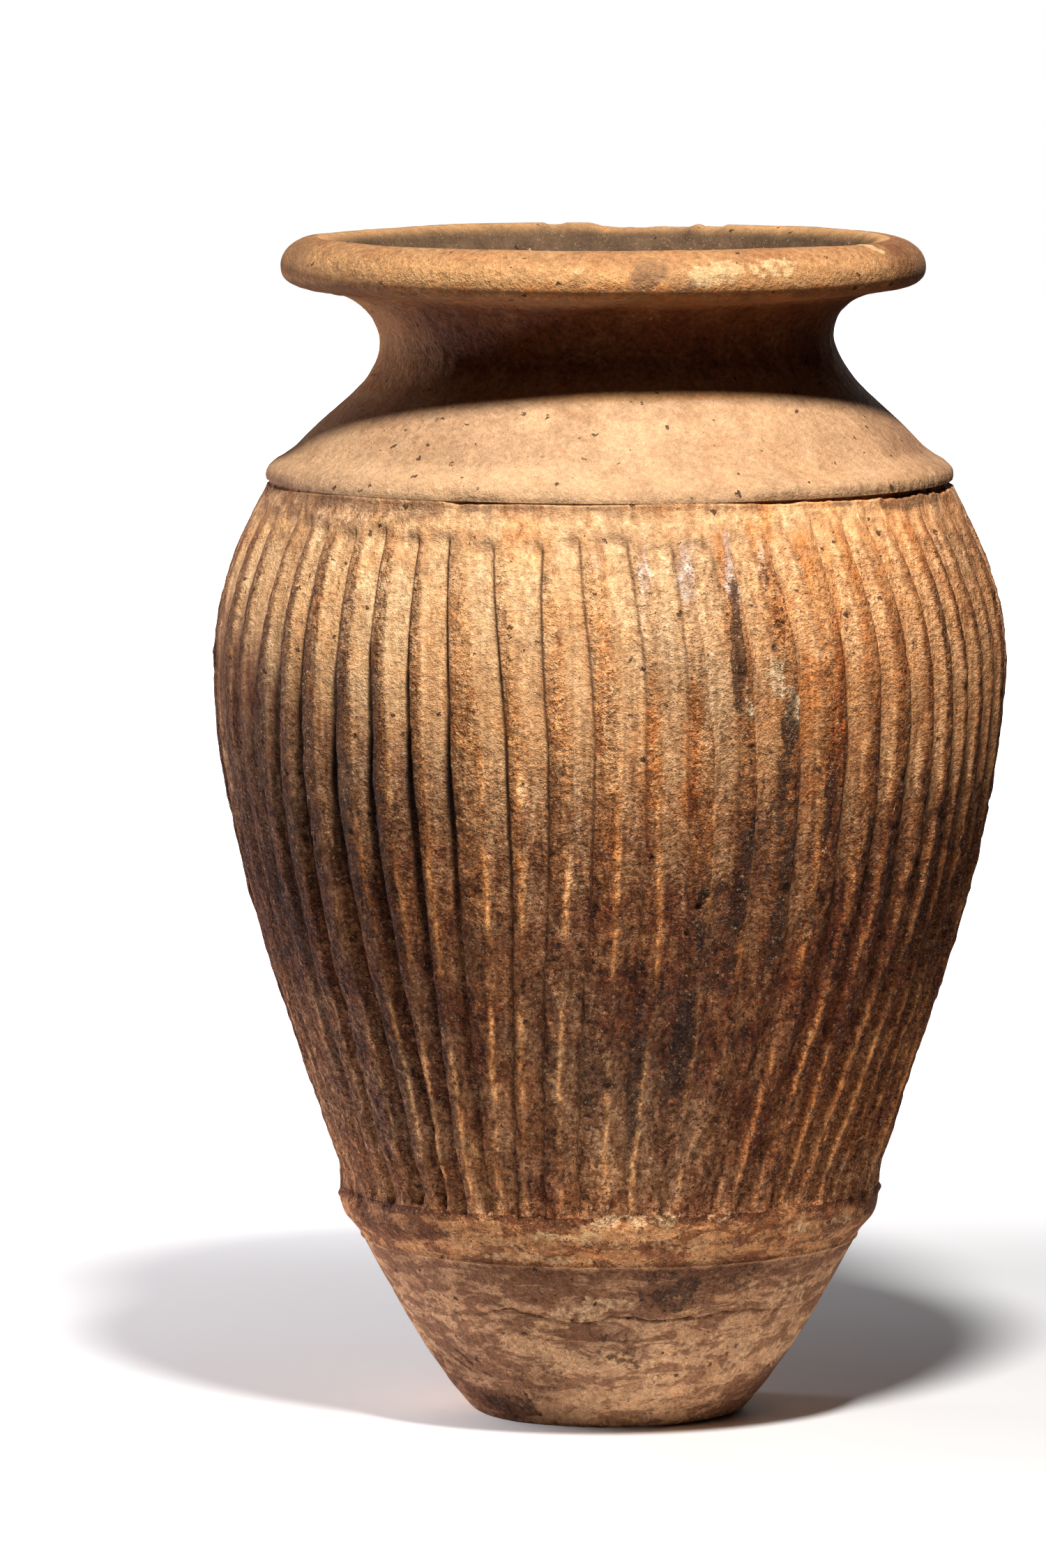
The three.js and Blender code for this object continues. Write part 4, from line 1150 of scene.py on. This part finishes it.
def piece(node_name, slot, rings, sharp, closed=True):
    mesh = ring_mesh(node_name + "_clay", rings, sharp, closed)
    mesh.materials.append(materials[slot])
    thing = bpy.data.objects.new(node_name + "_clay", mesh)
    bpy.context.scene.collection.objects.link(thing)
    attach(thing, "root")
    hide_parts(node_name)


def course(node_name, slot, spans, inner_top, inner_foot, spacing=12, lead=(), tail=()):
    """A closed ring: the outer face up, a joint face, the inner face down, and back to the start."""
    outer = outer_rings(spans)
    inner = inner_rings(inner_place(inner_top), inner_place(inner_foot), spacing)
    inner_start = len(outer) + len(tail)
    sharp = (0, len(outer) - 1, inner_start, inner_start + len(inner) - 1)
    piece(node_name, slot, outer + list(tail) + inner + list(lead), sharp)


# Base slab: resting face, worn edge and the floor inside
slab_edge = outer_rings([(0.0, 6.0, 1.0), (6.0, at(SLAB_TOP), 1.3)])
under = [plain_ring(radius, 0.0) for radius in (0.5, 30, 60, 84)]
over = [plain_ring(radius, FLOOR_TOP, 1.0) for radius in (92, 62, 30, 0.5)]
slab_sharp = (len(under), len(under) + len(slab_edge) - 1)
piece("base_slab", "foot_clay", under + slab_edge + over, slab_sharp, closed=False)

# The places where both faces of the lower cordon and of the lip bed in the wall
cordon_foot = plain_ring(174.5, CORDON_FOOT)
cordon_middle = plain_ring(181.6, CORDON_JOINT)
cordon_top = plain_ring(190.2, CORDON_TOP)

course("foot_course", "foot_clay", [(at(SLAB_TOP), at(84), 1.35), (at(84), at(FOOT_JOINT), 0.7)], 80, 26.5)
course("lower_wall_course", "foot_clay",
       [(at(FOOT_JOINT), at(95), 0.7), (at(95), at(123), 1.35), (at(123), at(CORDON_FOOT), 0.8)],
       139, 80, tail=[cordon_foot, cordon_middle])
cordon_outer = outer_rings([(at(CORDON_FOOT), at(133), 0.8), (at(133), at(CORDON_TOP), 1.15)])
piece("lower_cordon", "cordon_clay", cordon_outer + [cordon_top, cordon_foot], (0, len(cordon_outer) - 1))
course("lower_belly_course", "belly_clay", [(at(CORDON_TOP), at(180), 1.3), (at(180), at(LOWER_JOINT), 2.6)],
       340, 139, lead=[cordon_middle, cordon_top])
course("middle_belly_course", "belly_clay", [(at(LOWER_JOINT), at(MIDDLE_JOINT), 2.6)], 506, 340)
course("upper_belly_course", "belly_clay",
       [(at(MIDDLE_JOINT), at(640), 2.7), (at(640), at(664), 1.8), (at(664), at(CREASE), 0.75)], 675, 506)
lip_outer = outer_rings([(at(CREASE), at(685), 0.7), (at(685), at(LIP_TOP), 1.0)])
lip_bed = [plain_ring(225.0, LIP_TOP), plain_ring(239.3, CREASE)]
piece("shoulder_cordon", "shoulder_clay", lip_outer + lip_bed, (0, 1, len(lip_outer) - 1))
course("shoulder_course", "shoulder_clay", [(at(LIP_TOP), at(NECK_JOINT), 1.4)], 736.5, 675,
       lead=[plain_ring(239.0, CREASE), plain_ring(224.7, LIP_TOP)])
course("neck_collar", "rim_clay", [(at(NECK_JOINT), at(RIM_JOINT), 1.6)], 811, 736.5, spacing=6)
rim = outer_rings([(at(RIM_JOINT), outer_curve["s"][-1], 1.35)])
rim = rim + inner_rings(1.4, inner_place(811), 1.8, fine=True)
piece("rim_ring", "rim_clay", rim, (0, len(rim) - 1))


# Floor: plain paper that fades into the white behind it where the camera sees it, and a glow seen only by the
# camera, painted light that lifts its shadow at the left and behind

FLOOR_SIZE = 14.0
PAPER = (0.86, 0.86, 0.87)
PAPER_UNDER_LAMPS = (0.10, 0.10, 0.104)


def floor_material():
    tree = Tree(bpy.data.materials.new("pale_floor"))
    x = tree.node("SeparateXYZ", (tree.place(),))
    y = Value(tree, x.socket.node.outputs[1])
    away = tree.math("SQRT", x * x + y * y)
    seen = tree.node("LightPath", output="Is Camera Ray")
    paper = tree.mix(tree.scaled(away, 0.36, 0.80), PAPER, PAPER_UNDER_LAMPS)
    diffuse = tree.node("BsdfDiffuse", {"Color": tree.mix(seen, paper, PAPER)})
    # Painted light: the camera sees a glow that lifts the floor's shadow at the left and behind, and white
    # far away
    left = tree.scaled(x, -0.15, 0.05, 1.0, 0.0)
    behind = tree.clamped(y, 0.14) + tree.scaled(y, 0.6, 1.7)
    glow = left * 0.45 + (behind + tree.scaled(away, 1.1, 2.2, 0.0, 0.9))
    light = tree.node("Emission", {"Color": (0.96, 0.945, 0.975), "Strength": glow * seen})
    tree.node("OutputMaterial", {"Surface": tree.node("AddShader", (diffuse, light))})
    return tree.owner


floor_mesh = bpy.data.meshes.new("floor")
corners = [(-1, -1), (1, -1), (1, 1), (-1, 1)]
floor_mesh.from_pydata([(x * FLOOR_SIZE, y * FLOOR_SIZE, 0) for x, y in corners], [], [(0, 1, 2, 3)])
floor_mesh.materials.append(floor_material())
floor = bpy.data.objects.new("floor", floor_mesh)
bpy.context.scene.collection.objects.link(floor)

# Backdrop: white where the camera sees it, dim as a light
studio = Tree(bpy.data.worlds.new("studio"))
dim = studio.node("Background", ((0.9, 0.95, 1.0), 0.01))
white = studio.node("Background", ((1, 1, 1), 1.0))
camera_ray = studio.node("LightPath", output="Is Camera Ray")
studio.node("OutputWorld", {"Surface": studio.node("MixShader", (camera_ray, dim, white))})
bpy.context.scene.world = studio.owner


def lamp(name, place, target, size, power, colour):
    data = bpy.data.lights.new(name, "AREA")
    data.shape = "DISK"
    data.size = size
    data.energy = power
    data.color = colour
    light = bpy.data.objects.new(name, data)
    light.location = place
    direction = np.array(target) - np.array(place)
    yaw = math.atan2(direction[1], direction[0]) - math.pi / 2
    pitch = math.atan2(direction[2], math.hypot(direction[0], direction[1]))
    light.rotation_euler = (math.pi / 2 + pitch, 0, yaw)
    bpy.context.scene.collection.objects.link(light)


KEY_ANGLE = math.radians(8.5)
KEY_REACH = 1.425
KEY_HEIGHT = 2.66
lamp("key", (KEY_REACH * math.sin(KEY_ANGLE), -KEY_REACH * math.cos(KEY_ANGLE), KEY_HEIGHT), (0, -0.1, 0.6),
     0.36, 104, (1.0, 0.985, 0.96))
lamp("back", (0.9, 3.3, 1.0), (0, 0, 0.45), 1.4, 18, (1.0, 0.98, 0.95))
lamp("left", (-2.2, 1.6, 0.9), (0, 0, 0.5), 0.5, 10, (1.0, 0.90, 0.94))
lamp("side", (-1.35, 0.55, 0.06), (0, 0, 0.1), 0.2, 13, (1.0, 0.88, 0.92))

# Camera
CAMERA_AWAY = 7.5
CAMERA_HEIGHT = 1.2236
CAMERA_DOWN = math.radians(5.856)
CAMERA_ASIDE = math.radians(0.4755)
camera_data = bpy.data.cameras.new("camera")
camera_data.lens = 240.1
camera_data.sensor_width = 36
camera_data.clip_end = 60
camera = bpy.data.objects.new("camera", camera_data)
camera.location = (0, -CAMERA_AWAY, CAMERA_HEIGHT)
camera.rotation_euler = (math.pi / 2 - CAMERA_DOWN, 0, CAMERA_ASIDE)
bpy.context.scene.collection.objects.link(camera)
bpy.context.scene.camera = camera
bpy.context.scene.view_settings.view_transform = "Standard"
